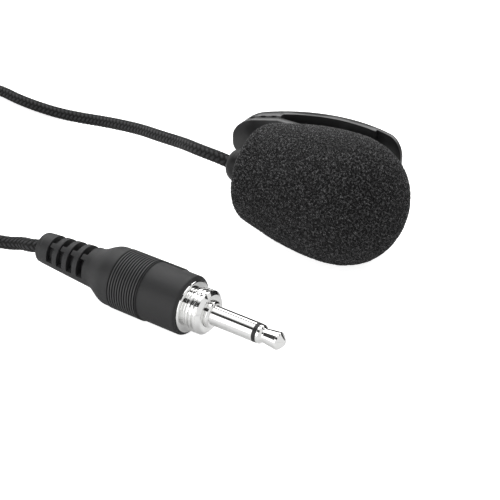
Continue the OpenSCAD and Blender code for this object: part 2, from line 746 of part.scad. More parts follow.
// Radius of the grip behind its grooves: the flare, then the tapered strain relief
function relief_radius(s) =
    let (t = min(1, max(0, (s - flare_s) / flare_len)), ease = t * t * (3 - 2 * t),
         u = max(0, (s - flare_s - flare_len) / (relief_end_s - flare_s - flare_len)))
    flare_r + (relief_front_r - flare_r) * ease + (relief_rear_r - relief_front_r) * u;

// Outline of n grooves that start at s
function grooves(s, n, r) = [for (i = [0 : n - 1]) each [
    [r, s + (i + 0.1) * groove_pitch], [r - grip_groove_depth, s + (i + 0.35) * groove_pitch],
    [r - grip_groove_depth, s + (i + 0.65) * groove_pitch], [r, s + (i + 0.9) * groove_pitch]]];

module plug_overmould() color("#222223") {
    edge = 0.5;
    end_edge = 1;
    relief_steps = 18;
    relief_from = groove_end_s + 1;
    relief_to = relief_end_s - end_edge;
    back_s = groove_s - back_groove_count * groove_pitch;
    core_r = cable_hole_r + slot_core_wall;
    difference() {
        union() {
            on_plug() rotate_extrude() polygon(concat(
                [[premould_r + press_gap, grip_s], [grip_r - edge, grip_s]],
                [for (a = [30, 60, 90]) [grip_r - edge + edge * sin(a), grip_s + edge - edge * cos(a)]],
                [[grip_r, groove_s]],
                grooves(groove_s, groove_count, groove_band_r),
                [[groove_band_r, groove_end_s + 0.3], [flare_r, relief_from]],
                [for (i = [1 : relief_steps])
                    let (s = relief_from + (relief_to - relief_from) * i / relief_steps)
                    [relief_radius(s), s]],
                [for (a = [30, 60, 90])
                    [relief_rear_r - end_edge + end_edge * cos(a), relief_to + end_edge * sin(a)]],
                [[cable_hole_r, relief_end_s], [cable_hole_r, premould_end_s + press_gap],
                 [premould_r + press_gap, premould_end_s + press_gap]]));
            // The grooved back of the smooth band
            on_plug() rotate([0, 0, 90 - panel_from - 360]) rotate_extrude(angle = 360 + panel_from - panel_to)
                polygon(concat([[grip_r - edge, back_s], [grip_r, back_s]],
                               grooves(back_s, back_groove_count, groove_band_r),
                               [[grip_r - edge, groove_s]]));
        }
        for (i = [0 : slot_count - 1]) {
            middle = relief_end_s - slot_end_len - i * slot_pitch;
            s0 = middle - slot_w / 2;
            s1 = middle + slot_w / 2;
            for (a = SLOTS) plug_sector(s0, s1, core_r, premould_r + cut, a[0], a[1]);
            for (a = SLITS) plug_sector(s1 - slot_w / 4, s1, core_r, premould_r + cut, a[0], a[1]);
        }
    }
}

module plug_premould() color("#3a3a3c") on_plug() rotate_extrude() polygon([
    [cavity_r, collar_tail_s], [premould_r, collar_tail_s], [premould_r, premould_end_s],
    [cable_hole_r, premould_end_s], [cable_hole_r, crimp_s + crimp_len],
    [cable_hole_r + anchor_wall + press_gap, crimp_s + crimp_len],
    [cable_hole_r + anchor_wall + press_gap, cavity_end_s], [cavity_r, cavity_end_s]]);

module plug_collar() color("#d5d7da") on_plug() rotate_extrude() polygon(concat(
    [[boss_r + run_gap, collar_s], [thread_r - collar_chamfer, collar_s]],
    [for (i = [0 : thread_crests - 1]) let (s = thread_s + i * thread_pitch) each [
        [thread_r, s], [thread_r, s + 0.35 * thread_pitch],
        [thread_r - thread_depth, s + 0.6 * thread_pitch],
        [thread_r - thread_depth, s + 0.75 * thread_pitch]]],
    [[thread_r - thread_depth, thread_end_s], [thread_r - 1.5 * thread_depth, neck_s],
     [flange_r - 0.2, flange_s], [flange_r, flange_s + 0.15], [flange_r, grip_s],
     [premould_r, grip_s], [premould_r, collar_tail_s], [cavity_r, collar_tail_s],
     [cavity_r, sleeve_end_s], [boss_r + run_gap, sleeve_end_s]]));

module plug_sleeve() color("#d5d7da") on_plug() rotate_extrude() polygon([
    [rod_sheath_r + press_gap, insulator_s], [shaft_r, insulator_s], [shaft_r, boss_s],
    [boss_r - 0.3, boss_s], [boss_r, boss_s + 0.3], [boss_r, sleeve_end_s],
    [rod_sheath_r + press_gap, sleeve_end_s]]);

module plug_insulator() color("#151515") on_plug() rotate_extrude() polygon([
    [rod_r + press_gap, tip_len], [shaft_r - press_gap, tip_len],
    [shaft_r - press_gap, insulator_s], [rod_sheath_r, insulator_s],
    [rod_sheath_r, sleeve_end_s], [rod_r + press_gap, sleeve_end_s]]);

module plug_tip() color("#d5d7da") on_plug() rotate_extrude() polygon([
    [0, 0], [tip_point_r, 0], [tip_point_r + 0.2, 0.1], [tip_head_r - 0.1, tip_head_s - 0.25],
    [tip_head_r, tip_head_s], [tip_waist_r, tip_waist_s],
    [tip_waist_r, tip_len - tip_collar_len - tip_collar_slope],
    [tip_collar_r, tip_len - tip_collar_len], [tip_collar_r, tip_len], [rod_r, tip_len],
    [rod_r, lug_s + rear_insulator_t],
    [0, lug_s + rear_insulator_t]]);

module plug_rear_insulator() color("#e6e1d0")
    plug_ring(lug_s, lug_s + rear_insulator_t, lug_z - side_gap, rod_r + press_gap);

// Flat tongue of a lug from s back along the plug, on one side of the axis
module lug_tongue(s, side)
    translate([plug_x - s - lug_len, plug_y - lug_w / 2, plug_z + (side > 0 ? lug_z : -lug_z - lug_t)])
        cube([lug_len, lug_w, lug_t]);

module plug_tip_lug() color("#b9925a") {
    s = lug_s + rear_insulator_t;
    plug_ring(s, s + lug_t, lug_w);
    translate([plug_x - s - lug_t, plug_y - lug_w / 2, plug_z]) cube([lug_t, lug_w, lug_z + lug_t]);
    lug_tongue(s, 1);
}

module plug_sleeve_lug() color("#b9925a") {
    plug_ring(sleeve_end_s, lug_s, cavity_r - run_gap, rod_sheath_r + press_gap);
    lug_tongue(sleeve_end_s, -1);
}

// Wire from the end of the cable in the plug up to the middle of its lug
module plug_wire(side) {
    reach = plug_x - lug_s - rear_insulator_t - lug_len / 2 - plug_cable_x;
    rise = lug_z - wire_r - press_gap - wire_offset;
    translate([plug_cable_x, plug_y, plug_z + side * wire_offset])
        rotate([0, 90 - side * atan(rise / reach), 0])
            cylinder(h = norm([reach, rise]), r = wire_r);
}

module plug_signal_wire() color("#b8352c") plug_wire(1);
module plug_shield_wire() color("#c07c3c") plug_wire(-1);

module plug_crimp() color("#b5b7ba")
    plug_ring(crimp_s, crimp_s + crimp_len - side_gap, cable_hole_r + anchor_wall, cable_hole_r);

foam_windscreen();
housing_barrel();
grille_cap();
grille_mesh();
dust_felt();
capsule_can();
diaphragm_ring();
diaphragm();
spacer();
backplate();
backplate_holder();
contact_ring();
fet();
capsule_board();
solder_joints();
capsule_gasket();
signal_wire();
shield_wire();
cable_anchor();
cable_gland();
clip_fixed_jaw();
clip_pin();
clip_spring();
clip_lever();
clip_spring_leg();
mic_cable();
cable_coil();
coil_tie();
plug_cable();
plug_overmould();
plug_premould();
plug_collar();
plug_sleeve();
plug_insulator();
plug_tip();
plug_rear_insulator();
plug_tip_lug();
plug_sleeve_lug();
plug_signal_wire();
plug_shield_wire();
plug_crimp();
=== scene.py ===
"""Lavalier microphone: foam windscreen, sprung tie clip, braided lead and locking mini plug."""

import math

import bmesh
import bpy
import numpy as np
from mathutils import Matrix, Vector


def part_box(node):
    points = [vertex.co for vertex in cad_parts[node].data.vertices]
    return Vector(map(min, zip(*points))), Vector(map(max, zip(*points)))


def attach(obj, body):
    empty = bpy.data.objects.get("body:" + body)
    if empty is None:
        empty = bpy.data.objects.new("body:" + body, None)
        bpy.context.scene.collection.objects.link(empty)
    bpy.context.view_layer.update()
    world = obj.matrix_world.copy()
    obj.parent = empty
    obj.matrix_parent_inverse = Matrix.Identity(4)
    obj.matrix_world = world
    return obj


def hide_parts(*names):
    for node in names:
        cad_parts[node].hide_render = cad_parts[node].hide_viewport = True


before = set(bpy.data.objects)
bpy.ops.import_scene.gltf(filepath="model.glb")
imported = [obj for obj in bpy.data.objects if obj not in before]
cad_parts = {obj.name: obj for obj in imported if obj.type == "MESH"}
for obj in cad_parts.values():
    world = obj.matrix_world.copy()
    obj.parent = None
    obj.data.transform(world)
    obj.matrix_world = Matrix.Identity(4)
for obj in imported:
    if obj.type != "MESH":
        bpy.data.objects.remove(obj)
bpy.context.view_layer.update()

MM = 0.001

# ---- camera ----

CAMERA_AZIMUTH = math.radians(33.53)
CAMERA_ELEVATION = math.radians(33.37)
CAMERA_DISTANCE = 0.22173
CAMERA_TARGET = Vector((-0.00617, -0.01319, 0.0))

camera_back = Vector((
    math.sin(CAMERA_AZIMUTH) * math.cos(CAMERA_ELEVATION),
    -math.cos(CAMERA_AZIMUTH) * math.cos(CAMERA_ELEVATION),
    math.sin(CAMERA_ELEVATION),
))
camera = bpy.data.objects.new("camera", bpy.data.cameras.new("camera"))
camera.data.sensor_width = 36
camera.data.lens = 82.508
camera.data.clip_start = 0.01
camera.data.clip_end = 20
camera.location = CAMERA_TARGET + camera_back * CAMERA_DISTANCE
camera.rotation_euler = (-camera_back).to_track_quat("-Z", "Y").to_euler()
bpy.context.collection.objects.link(camera)
bpy.context.scene.camera = camera
bpy.context.scene.view_settings.view_transform = "Standard"


# ---- node and mesh helpers ----

MATH = "ShaderNodeMath"
VECTOR = "ShaderNodeVectorMath"
SPLIT = "ShaderNodeSeparateXYZ"
JOIN = "ShaderNodeCombineXYZ"
NOISE = "ShaderNodeTexNoise"
# Inputs of a Mix node: factor 0, numbers 2 and 3, colours 6 and 7. Its colour comes out at 2.
MIX = "ShaderNodeMix"
# Inputs of a Map Range node: value 0, the range that it has 1 and 2, the range that it gets 3 and 4
RANGE = "ShaderNodeMapRange"


def srgb(code):
    """Linear colour of an sRGB hex value."""
    channels = [int(code[i:i + 2], 16) / 255 for i in (1, 3, 5)]
    return tuple(c / 12.92 if c <= 0.04045 else ((c + 0.055) / 1.055) ** 2.4
                 for c in channels) + (1.0,)


def feed(tree, node, inputs):
    """Sets a node's inputs, given by name or place, to values, or links them to sockets or to the
    first sockets of other nodes."""
    for key, value in inputs.items():
        if isinstance(value, bpy.types.Node):
            value = value.outputs[0]
        if isinstance(value, bpy.types.NodeSocket):
            tree.links.new(value, node.inputs[key])
        else:
            node.inputs[key].default_value = value


def add(tree, kind, inputs=None, **settings):
    """Adds a node with its settings, its values and its links."""
    made = tree.nodes.new(kind)
    for name, value in settings.items():
        setattr(made, name, value)
    feed(tree, made, inputs or {})
    return made


def ring_mesh(name, rings, poles=(None, None), loop=False):
    """Mesh through rings of points. It closes round each ring, and either on a pole at each end
    or, as a loop, from the last ring to the first."""
    rings = np.asarray(rings, dtype=float)
    count, sides = rings.shape[:2]
    points = [tuple(p) for p in rings.reshape(-1, 3)]
    nxt = [(k + 1) % sides for k in range(sides)]
    faces = []
    for i in range(count if loop else count - 1):
        a, b = i * sides, ((i + 1) % count) * sides
        faces += [(a + k, b + k, b + nxt[k], a + nxt[k]) for k in range(sides)]
    for pole, ring in zip(poles, (0, count - 1)):
        if pole is not None:
            points.append(tuple(pole))
            tip, a = len(points) - 1, ring * sides
            faces += [(tip, a + k, a + nxt[k]) for k in range(sides)]
    mesh = bpy.data.meshes.new(name)
    mesh.from_pydata(points, [], faces)
    shell = bmesh.new()
    shell.from_mesh(mesh)
    bmesh.ops.recalc_face_normals(shell, faces=shell.faces)
    shell.to_mesh(mesh)
    shell.free()
    return new_object(name, mesh)


def new_object(name, data):
    made = bpy.data.objects.new(name, data)
    bpy.context.collection.objects.link(made)
    return made


def smooth(piece, angle=30):
    """Smooth shading that keeps the edges sharper than the angle."""
    piece.data.shade_smooth()
    piece.data.set_sharp_from_angle(angle=math.radians(angle))


def dress(piece, material, body, slot, *nodes):
    """Gives a finished piece its material, its body and the CAD nodes it stands for."""
    piece.data.materials.clear()
    piece.data.materials.append(material)
    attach(piece, body)
    if nodes:
        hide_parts(*nodes)


def eased(corners, steps=4):
    """Profile with its corners rounded. A corner is (x, r) or (x, r, rounding)."""
    path = []
    for i, corner in enumerate(corners):
        here = np.array(corner[:2], dtype=float)
        rounding = corner[2] if len(corner) > 2 else 0
        if rounding == 0 or i in (0, len(corners) - 1):
            path.append(tuple(here))
            continue
        before = np.array(corners[i - 1][:2], dtype=float) - here
        after = np.array(corners[i + 1][:2], dtype=float) - here
        reach = min(rounding, 0.45 * np.hypot(*before), 0.45 * np.hypot(*after))
        start = here + before / np.hypot(*before) * reach
        end = here + after / np.hypot(*after) * reach
        for t in np.linspace(0, 1, steps + 1):
            path.append(tuple((1 - t) ** 2 * start + 2 * t * (1 - t) * here + t ** 2 * end))
    return path


def turned(name, profile, place, sides=128, cut=None):
    """Piece turned about an axis along X. Its profile is in millimetres, (x, r), and place(x, y, z)
    gives metres. A profile that ends on the axis closes on poles, and any other is a loop.
    cut(x, angle) is the depth taken off, at angles from +Y towards +Z."""
    angles = np.linspace(0, 2 * math.pi, sides, endpoint=False)
    on_axis = [profile[0][1] == 0, profile[-1][1] == 0]
    body = np.array(profile[int(on_axis[0]):len(profile) - int(on_axis[1])])
    radii = np.repeat(body[:, 1:], sides, axis=1)
    if cut:
        # Only the outside is cut, before the profile turns back along its bore
        outside = np.arange(len(body)) <= np.argmax(body[:, 0])
        radii = radii - cut(body[:, :1], angles[None, :]) * outside[:, None]
    rings = np.stack(place(body[:, :1] + 0 * radii, radii * np.cos(angles), radii * np.sin(angles)),
                     axis=-1)
    poles = [place(profile[i][0], 0, 0) if on_axis[i] else None for i in (0, -1)]
    piece = ring_mesh(name, rings, poles, loop=not any(on_axis))
    smooth(piece)
    return piece


# ---- cable ----

def in_metres(places):
    """Points or other rows of numbers that are given in millimetres."""
    return [tuple(value * MM for value in place) for place in places]


CABLE_R = 1.35 * MM
# Middle of the lead from inside the gland down to the coil
MIC_ROUTE = in_metres([
    (-6, -4.8, 12.35), (-11, -4.8, 12.35), (-16, -4.8, 12.35), (-19.6, -4.6, 12.5),
    (-24.7, -3.5, 12), (-28.3, -2, 11.2), (-32.4, 0.1, 9.9), (-39.8, 2.9, 8), (-47.6, 5.9, 6),
    (-54.6, 7.5, 4.5), (-61.5, 8.7, 3), (-67.7, 8.8, 2.1), (-74, 8.8, 1.5), (-80.3, 8.8, 1.35),
    (-87, 9.2, 1.35), (-94.5, 10.2, 1.35), (-100.3, 9.5, 1.35), (-104.8, 5.4, 1.35),
    (-106.2, -0.6, 1.35), (-105.6, -9, 1.35), (-104, -18, 1.35), (-103.2, -27.5, 1.35),
])
# Middle of the lead from the coil's top into the plug
PLUG_ROUTE = in_metres([
    (-86.8, -43.9, 9.45), (-82.3, -43.9, 9.2), (-77.8, -43.9, 8.2), (-69.8, -43.4, 5),
    (-61.8, -42.2, 2.5), (-54.8, -40.8, 1.5), (-48.3, -39.8, 1.6), (-43.8, -39.6, 2.4),
    (-40.3, -39.7, 3.6), (-37.1, -40.4, 4.7), (-35, -40.4, 5.3), (-33, -40.4, 5.6),
    (-22.3, -40.4, 5.6), (-13.3, -40.4, 5.6),
])
# The lead leaves the rubber gland here
COIL_CENTRE, COIL_RADII, COIL_LEVELS = in_metres([
    (-86.8, -27.5), (16.4, 13.6, 10.8), (1.35, 4.05, 6.75, 9.45)])
COIL_TURNS = 12.25
COIL_POINTS_PER_TURN = 48
# Degrees: where the winding starts, and the arc over which a turn crosses to its next place
COIL_START = 180
COIL_CROSSING = 44
# Points that the spline lays between two given ones before it spaces them evenly
SPLINE_PARTS = 24

# Each layer is wound towards the middle, and the next one back out
coil_cells = [(r, z) for i, z in enumerate(COIL_LEVELS)
              for r in (COIL_RADII if i % 2 == 0 else COIL_RADII[::-1])]


def coil_route():
    """Middle line of the wound turns. Each turn crosses to its next place over a short arc."""
    cell_turn = 360 * COIL_TURNS / len(coil_cells)
    crossing = COIL_CROSSING / cell_turn
    route = []
    count = int(COIL_TURNS * COIL_POINTS_PER_TURN)
    for i in range(1, count):
        turned_by = 360 * COIL_TURNS * i / count
        cell = min(int(turned_by / cell_turn), len(coil_cells) - 1)
        t = max(0.0, (turned_by / cell_turn - cell - 1 + crossing) / crossing)
        t = t * t * (3 - 2 * t)
        here, there = coil_cells[cell], coil_cells[min(cell + 1, len(coil_cells) - 1)]
        radius = here[0] + (there[0] - here[0]) * t
        a = math.radians(COIL_START + turned_by)
        route.append((COIL_CENTRE[0] + radius * math.cos(a), COIL_CENTRE[1] + radius * math.sin(a),
                      here[1] + (there[1] - here[1]) * t))
    return route


def between(a, b, t, start, end):
    """Value at t on the line that has a at its start and b at its end."""
    return ((end - t) * a + (t - start) * b) / (end - start)


def spline(points, step):
    """Points a step apart on one smooth curve through the given points."""
    p = np.array(points)
    p = np.vstack([2 * p[0] - p[1], p, 2 * p[-1] - p[-2]])
    k = np.concatenate([[0], np.cumsum(np.sqrt(np.linalg.norm(np.diff(p, axis=0), axis=1)))])
    fine = []
    for i in range(1, len(p) - 2):
        t = np.linspace(k[i], k[i + 1], SPLINE_PARTS, endpoint=False)[:, None]
        first, second, third = (between(p[j], p[j + 1], t, k[j], k[j + 1])
                                for j in (i - 1, i, i + 1))
        low = between(first, second, t, k[i - 1], k[i + 1])
        high = between(second, third, t, k[i], k[i + 2])
        fine.append(between(low, high, t, k[i], k[i + 1]))
    fine = np.vstack(fine + [p[-2]])
    run = np.concatenate([[0], np.cumsum(np.linalg.norm(np.diff(fine, axis=0), axis=1))])
    at = np.linspace(0, run[-1], max(2, int(round(run[-1] / step)) + 1))
    return np.stack([np.interp(at, run, fine[:, axis]) for axis in range(3)], axis=1)


# The lead is braided of eight strands each way round
BRAID_STRANDS = 8
BRAID_PITCH = 1.23 * MM
BRAID_RELIEF = 0.15 * MM
# How round a strand is across, 1 at most, and how high it still stands where it dives
STRAND_ROUNDNESS = 0.96
DIVE_HEIGHT = 0.45
# Share of the relief by which the whole braid is drawn in
DRAWN_IN = 0.2
# Distance between rows of points, on the open lead and on the coil
LEAD_STEP = 0.18 * MM
COIL_STEP = 0.9 * MM
CABLE_SIDES = 40


def braid_height(u, v):
    """Height of the braid's surface, 0 to 1, at u turns round the cable and v metres along it.
    Every strand passes over two others and under the next two."""
    p = BRAID_STRANDS * u + v / BRAID_PITCH
    q = BRAID_STRANDS * u - v / BRAID_PITCH
    p_over = (np.floor(p) + np.floor(q)) % 4 < 2
    across = np.where(p_over, p, q) % 1
    along = np.where(p_over, (q + np.floor(p)) % 4 / 2, ((p + np.floor(q)) % 4 - 2) / 2)
    crown = np.sqrt(np.clip(1 - STRAND_ROUNDNESS * (2 * across - 1) ** 2, 0, 1))
    return crown * (DIVE_HEIGHT + (1 - DIVE_HEIGHT) * np.sin(np.pi * np.clip(along, 0, 1)))


def frames_along(middle):
    """Two directions square to a middle line at each of its points, twisting as little as it
    lets them."""
    heading = np.gradient(middle, axis=0)
    heading /= np.linalg.norm(heading, axis=1, keepdims=True)
    side = np.cross(heading[0], [0, 0, 1.0])
    sides = []
    for t in heading:
        side = side - t * np.dot(side, t)
        side /= np.linalg.norm(side)
        sides.append(side)
    return np.array(sides), np.cross(sides, heading)


def tube(name, middle, radius, sides):
    """Tube with closed ends along a middle line."""
    across, up = (way[:, None, :] for way in frames_along(middle))
    turn = 2 * np.pi * np.arange(sides)[None, :, None] / sides
    rings = middle[:, None, :] + radius * (np.cos(turn) * across + np.sin(turn) * up)
    return ring_mesh(name, rings, (middle[0], middle[-1]))


def braided_cable(name, middle, relief):
    """Tube along a middle line, with a UV map of turns and millimetres. It has the braid's relief
    where relief is 1 and is smooth where it is 0."""
    along = np.concatenate([[0], np.cumsum(np.linalg.norm(np.diff(middle, axis=0), axis=1))])
    u = np.arange(CABLE_SIDES) / CABLE_SIDES
    height = braid_height(u[None, :], along[:, None]) * relief[:, None]
    radius = CABLE_R - BRAID_RELIEF * (relief[:, None] - height) - DRAWN_IN * BRAID_RELIEF
    cable = tube(name, middle, radius[:, :, None], CABLE_SIDES)
    layer = cable.data.uv_layers.new(name="braid")
    corner_points = np.empty(len(cable.data.loops), dtype=int)
    cable.data.loops.foreach_get("vertex_index", corner_points)
    corner_points = np.minimum(corner_points, len(middle) * CABLE_SIDES - 1)
    u_of = corner_points % CABLE_SIDES / CABLE_SIDES
    v_of = along[corner_points // CABLE_SIDES] / MM
    # Where a face crosses the tube's seam, its first column counts as one whole turn
    corners = np.empty(len(cable.data.polygons), dtype=int)
    cable.data.polygons.foreach_get("loop_total", corners)
    widest = np.maximum.reduceat(u_of, np.cumsum(corners) - corners)
    u_of = np.where((np.repeat(widest, corners) > 0.75) & (u_of < 0.25), u_of + 1, u_of)
    layer.data.foreach_set("uv", np.stack([u_of, v_of], axis=1).ravel())
    cable.data.shade_smooth()
    return cable


mic_lead = spline(MIC_ROUTE, LEAD_STEP)
plug_lead = spline(PLUG_ROUTE, LEAD_STEP)
wound = spline([MIC_ROUTE[-1]] + coil_route() + [PLUG_ROUTE[0]], COIL_STEP)[1:-1]
middle_line = np.vstack([mic_lead, wound, plug_lead])
relief = np.concatenate([np.ones(len(mic_lead)), np.zeros(len(wound)), np.ones(len(plug_lead))])
cable = braided_cable("braided_cable", middle_line, relief)


# ---- finishes ----

def finish(name):
    """New material with its tree, its shader and its place on the piece in millimetres."""
    material = bpy.data.materials.new(name)
    material.use_nodes = True
    tree = material.node_tree
    place = add(tree, "ShaderNodeTexCoord").outputs["Object"]
    in_mm = add(tree, VECTOR, {0: place, 1: (1 / MM,) * 3}, operation="MULTIPLY")
    return material, tree, tree.nodes["Principled BSDF"], in_mm


def mottled(name, dark, light, grain, roughness, bump=0.0, metallic=0.0, spread=0.06, **sockets):
    """Finish whose colour, roughness and surface vary with a fine grain. Grain and bump are in
    millimetres, dark and light are the ends of its colour, and spread is how far its roughness
    varies either way."""
    material, tree, shader, place = finish(name)
    noise = add(tree, NOISE, {"Vector": place, "Scale": 1 / grain, "Detail": 3.0,
                              "Roughness": 0.6})
    tone = add(tree, MIX, {0: noise, 6: srgb(dark), 7: srgb(light)}, data_type="RGBA")
    rough = add(tree, RANGE, {0: noise, 3: roughness - spread, 4: roughness + spread})
    feed(tree, shader, {"Base Color": tone.outputs[2], "Roughness": rough, "Metallic": metallic})
    feed(tree, shader, {socket.replace("_", " "): value for socket, value in sockets.items()})
    if bump:
        relief = add(tree, "ShaderNodeBump", {"Height": noise, "Distance": bump * MM})
        feed(tree, shader, {"Normal": relief})
    return material


def painted_ridge_highlights(material, start, pitch, count):
    """Painted highlights on the tops of the grip's ridges. The first groove starts at X start,
    and sizes are in millimetres."""
    tree = material.node_tree
    shader = tree.nodes["Principled BSDF"]
    tone = shader.inputs["Base Color"].links[0].from_socket
    place = add(tree, "ShaderNodeTexCoord").outputs["Object"]
    x = add(tree, SPLIT, {0: place})
    along = add(tree, MATH, {0: x, 1: -1 / (pitch * MM), 2: start / pitch},
                operation="MULTIPLY_ADD")
    turns = add(tree, MATH, {0: along, 1: 2 * math.pi}, operation="MULTIPLY")
    wave = add(tree, MATH, {0: turns}, operation="COSINE")
    ridge = add(tree, RANGE, {0: wave, 1: 0.1, 2: 0.8})
    # The outer flanks of the first and the last groove stay dark
    within = add(tree, MATH, {0: along, 1: count / 2, 2: count / 2 - 0.3}, operation="COMPARE")
    ridge = add(tree, MATH, {0: ridge, 1: within}, operation="MULTIPLY")
    # Painted highlight on the ridge tops
    ridge_highlight = add(tree, MIX, {0: ridge, 6: tone, 7: srgb("#4e4e4f")}, data_type="RGBA")
    feed(tree, shader, {"Base Color": ridge_highlight.outputs[2]})


# Polished nickel plate on brass: a bright, slightly warm mirror with faint polishing haze
nickel_plate = mottled("nickel plate", "#ebebea", "#f5f5f4", 0.5, 0.06, metallic=1.0, spread=0.02)
# Moulded acetal: dull black with a dry, waxy sheen
acetal = mottled("black acetal", "#141415", "#1c1c1d", 0.3, 0.42, 0.004)
# Flexible PVC moulded in a spark-eroded tool: matt charcoal with an even fine grain
soft_pvc = mottled("matt flexible PVC", "#1f1f20", "#2a2a2b", 0.16, 0.55, 0.012)
# Moulded ABS: dark, with a soft gloss where it catches the light
clip_abs = mottled("moulded ABS", "#151516", "#1e1e1f", 0.2, 0.35, 0.003, spread=0.03,
                   Specular_IOR_Level=0.95)
# Moulded rubber: darker and duller than the plastic round it
gland_rubber = mottled("moulded rubber", "#0c0c0d", "#141415", 0.25, 0.42, 0.01,
                       Specular_IOR_Level=0.35)
# Black anodised aluminium: fine satin metal under a dark film
anodised = mottled("black anodised aluminium", "#1d1e20", "#27282a", 0.08, 0.34, 0.002,
                   metallic=0.6)
# Drawn spring steel: bright grey with dull streaks
spring_steel = mottled("spring steel", "#a9abad", "#c4c6c8", 0.15, 0.3, 0.002, metallic=1.0)
# Rolled brass, slightly toned
brass = mottled("rolled brass", "#a87f3d", "#c79c55", 0.3, 0.28, 0.002, metallic=1.0)
# Drawn aluminium of the capsule's can: clean, pale and evenly satin
can_aluminium = mottled("drawn aluminium", "#bcbec1", "#d3d5d8", 0.2, 0.25, 0.002, metallic=1.0)
# Tin solder: bright, with small dull patches where it froze
solder = mottled("tin solder", "#a8aaad", "#d0d2d4", 0.12, 0.22, 0.01, metallic=1.0)
# Woven steel wire, dull grey
wire_mesh = mottled("woven steel wire", "#6e7072", "#9ea0a2", 0.1, 0.38, 0.02, metallic=1.0)
# Pressed wool felt: dark and hairy, with no gloss
felt = mottled("pressed felt", "#242425", "#3c3c3d", 0.12, 0.95, 0.03)
# Metallised polyester film: thin, pale and shiny
film = mottled("metallised film", "#c9c4b4", "#dcd8ca", 0.8, 0.2, metallic=0.5)
# Unpainted moulded plastic of the insulators: a warm cream with a low gloss
cream_plastic = mottled("cream moulded plastic", "#d9d2bb", "#e6e0cc", 0.4, 0.4, 0.004)
# Filled epoxy of a transistor's body: flat near-black with a fine speckle
chip_epoxy = mottled("chip epoxy", "#19191a", "#262627", 0.08, 0.6, 0.008)
# Glass epoxy board under lacquer: a clear, glossy green
board = mottled("green lacquered board", "#235a33", "#2f7140", 0.5, 0.3, 0.002)
# Soft PVC over the signal conductor: plain red with a dull gloss
wire_red = mottled("red wire insulation", "#a52a22", "#bb3a30", 0.4, 0.4, 0.003)
# Spun copper wires of the screen: a warm metal, broken up by the strands
wire_copper = mottled("copper screen", "#a8663a", "#c98552", 0.1, 0.35, 0.01, metallic=1.0)
# Hard ABS of the plug's inner moulding: dark grey and smooth
inner_abs = mottled("inner ABS moulding", "#333335", "#3f3f41", 0.4, 0.45, 0.004)
# Woven hook and loop tape: black and fuzzy, with no gloss
tie_tape = mottled("black hook and loop tape", "#131314", "#242425", 0.35, 0.85, 0.05)


YARNS_PER_STRAND = 6
# Height in millimetres that the light sees on a strand, beyond what its mesh has
YARN_RELIEF = 0.11


def braid_finish():
    """Braided polyester yarn: rounded strands with a soft thread lustre, painted shade in the gaps
    and painted highlight on the crowns. Its strands cross by the rule of braid_height."""
    material, tree, shader, place = finish("braided polyester")
    uv = add(tree, "ShaderNodeUVMap", uv_map="braid")
    parts = add(tree, SPLIT, {0: uv})
    around = add(tree, MATH, {0: parts, 1: BRAID_STRANDS}, operation="MULTIPLY")
    along = add(tree, MATH, {0: parts.outputs[1], 1: MM / BRAID_PITCH}, operation="MULTIPLY")
    p, q = (add(tree, MATH, {0: around, 1: along}, operation=way) for way in ("ADD", "SUBTRACT"))
    p_cell, q_cell = (add(tree, MATH, {0: way}, operation="FLOOR") for way in (p, q))
    cells = add(tree, MATH, {0: p_cell, 1: q_cell}, operation="ADD")
    turn = add(tree, MATH, {0: cells, 1: 4.0}, operation="FLOORED_MODULO")
    q_over = add(tree, MATH, {0: turn, 1: 1.5}, operation="GREATER_THAN")
    p_in, q_in = (add(tree, MATH, {0: way, 1: 1.0}, operation="FLOORED_MODULO") for way in (p, q))
    across = add(tree, MIX, {0: q_over, 2: p_in, 3: q_in})
    centred = add(tree, MATH, {0: across, 1: 0.5}, operation="SUBTRACT")
    squared = add(tree, MATH, {0: centred, 1: centred}, operation="MULTIPLY")
    crown = add(tree, MATH, {0: squared, 1: -4.0, 2: 1.0}, operation="MULTIPLY_ADD")
    # The yarns lie side by side in each strand
    yarns = add(tree, MATH, {0: across, 1: YARNS_PER_STRAND * 2 * math.pi}, operation="MULTIPLY")
    ripple = add(tree, MATH, {0: yarns}, operation="SINE")
    height = add(tree, MATH, {0: ripple, 1: 0.12, 2: crown}, operation="MULTIPLY_ADD")
    # A strand is highest half way over the two that it crosses
    p_run, q_run = (add(tree, MATH, {0: way, 1: cell}, operation="ADD")
                    for way, cell in ((q, p_cell), (p, q_cell)))
    run = add(tree, MIX, {0: q_over, 2: p_run, 3: q_run})
    run = add(tree, MATH, {0: run, 1: 2.0}, operation="FLOORED_MODULO")
    run = add(tree, MATH, {0: run, 1: math.pi / 2}, operation="MULTIPLY")
    hump = add(tree, MATH, {0: run}, operation="SINE")
    hump = add(tree, MATH, {0: hump, 1: 0.75, 2: 0.25}, operation="MULTIPLY_ADD")
    height = add(tree, MATH, {0: height, 1: hump}, operation="MULTIPLY")
    fuzz = add(tree, NOISE, {"Vector": place, "Scale": 6.0, "Detail": 2.0})
    shade = add(tree, MATH, {0: fuzz, 1: height}, operation="MULTIPLY")
    tone = add(tree, RANGE, {0: shade, 1: 0.2, 2: 0.5})
    # The colour follows the height: painted shade in the gaps between strands and painted highlight
    # where a strand is highest.
    colour = add(tree, MIX, {0: tone, 6: srgb("#020202"), 7: srgb("#424244")}, data_type="RGBA")
    relief = add(tree, "ShaderNodeBump", {"Height": height, "Distance": YARN_RELIEF * MM})
    feed(tree, shader, {"Base Color": colour.outputs[2], "Normal": relief, "Roughness": 0.62,
                        "Specular IOR Level": 0.25, "Sheen Weight": 0.06, "Sheen Roughness": 0.4})
    return material


# Size of the foam's pores in millimetres
PORE = 0.37


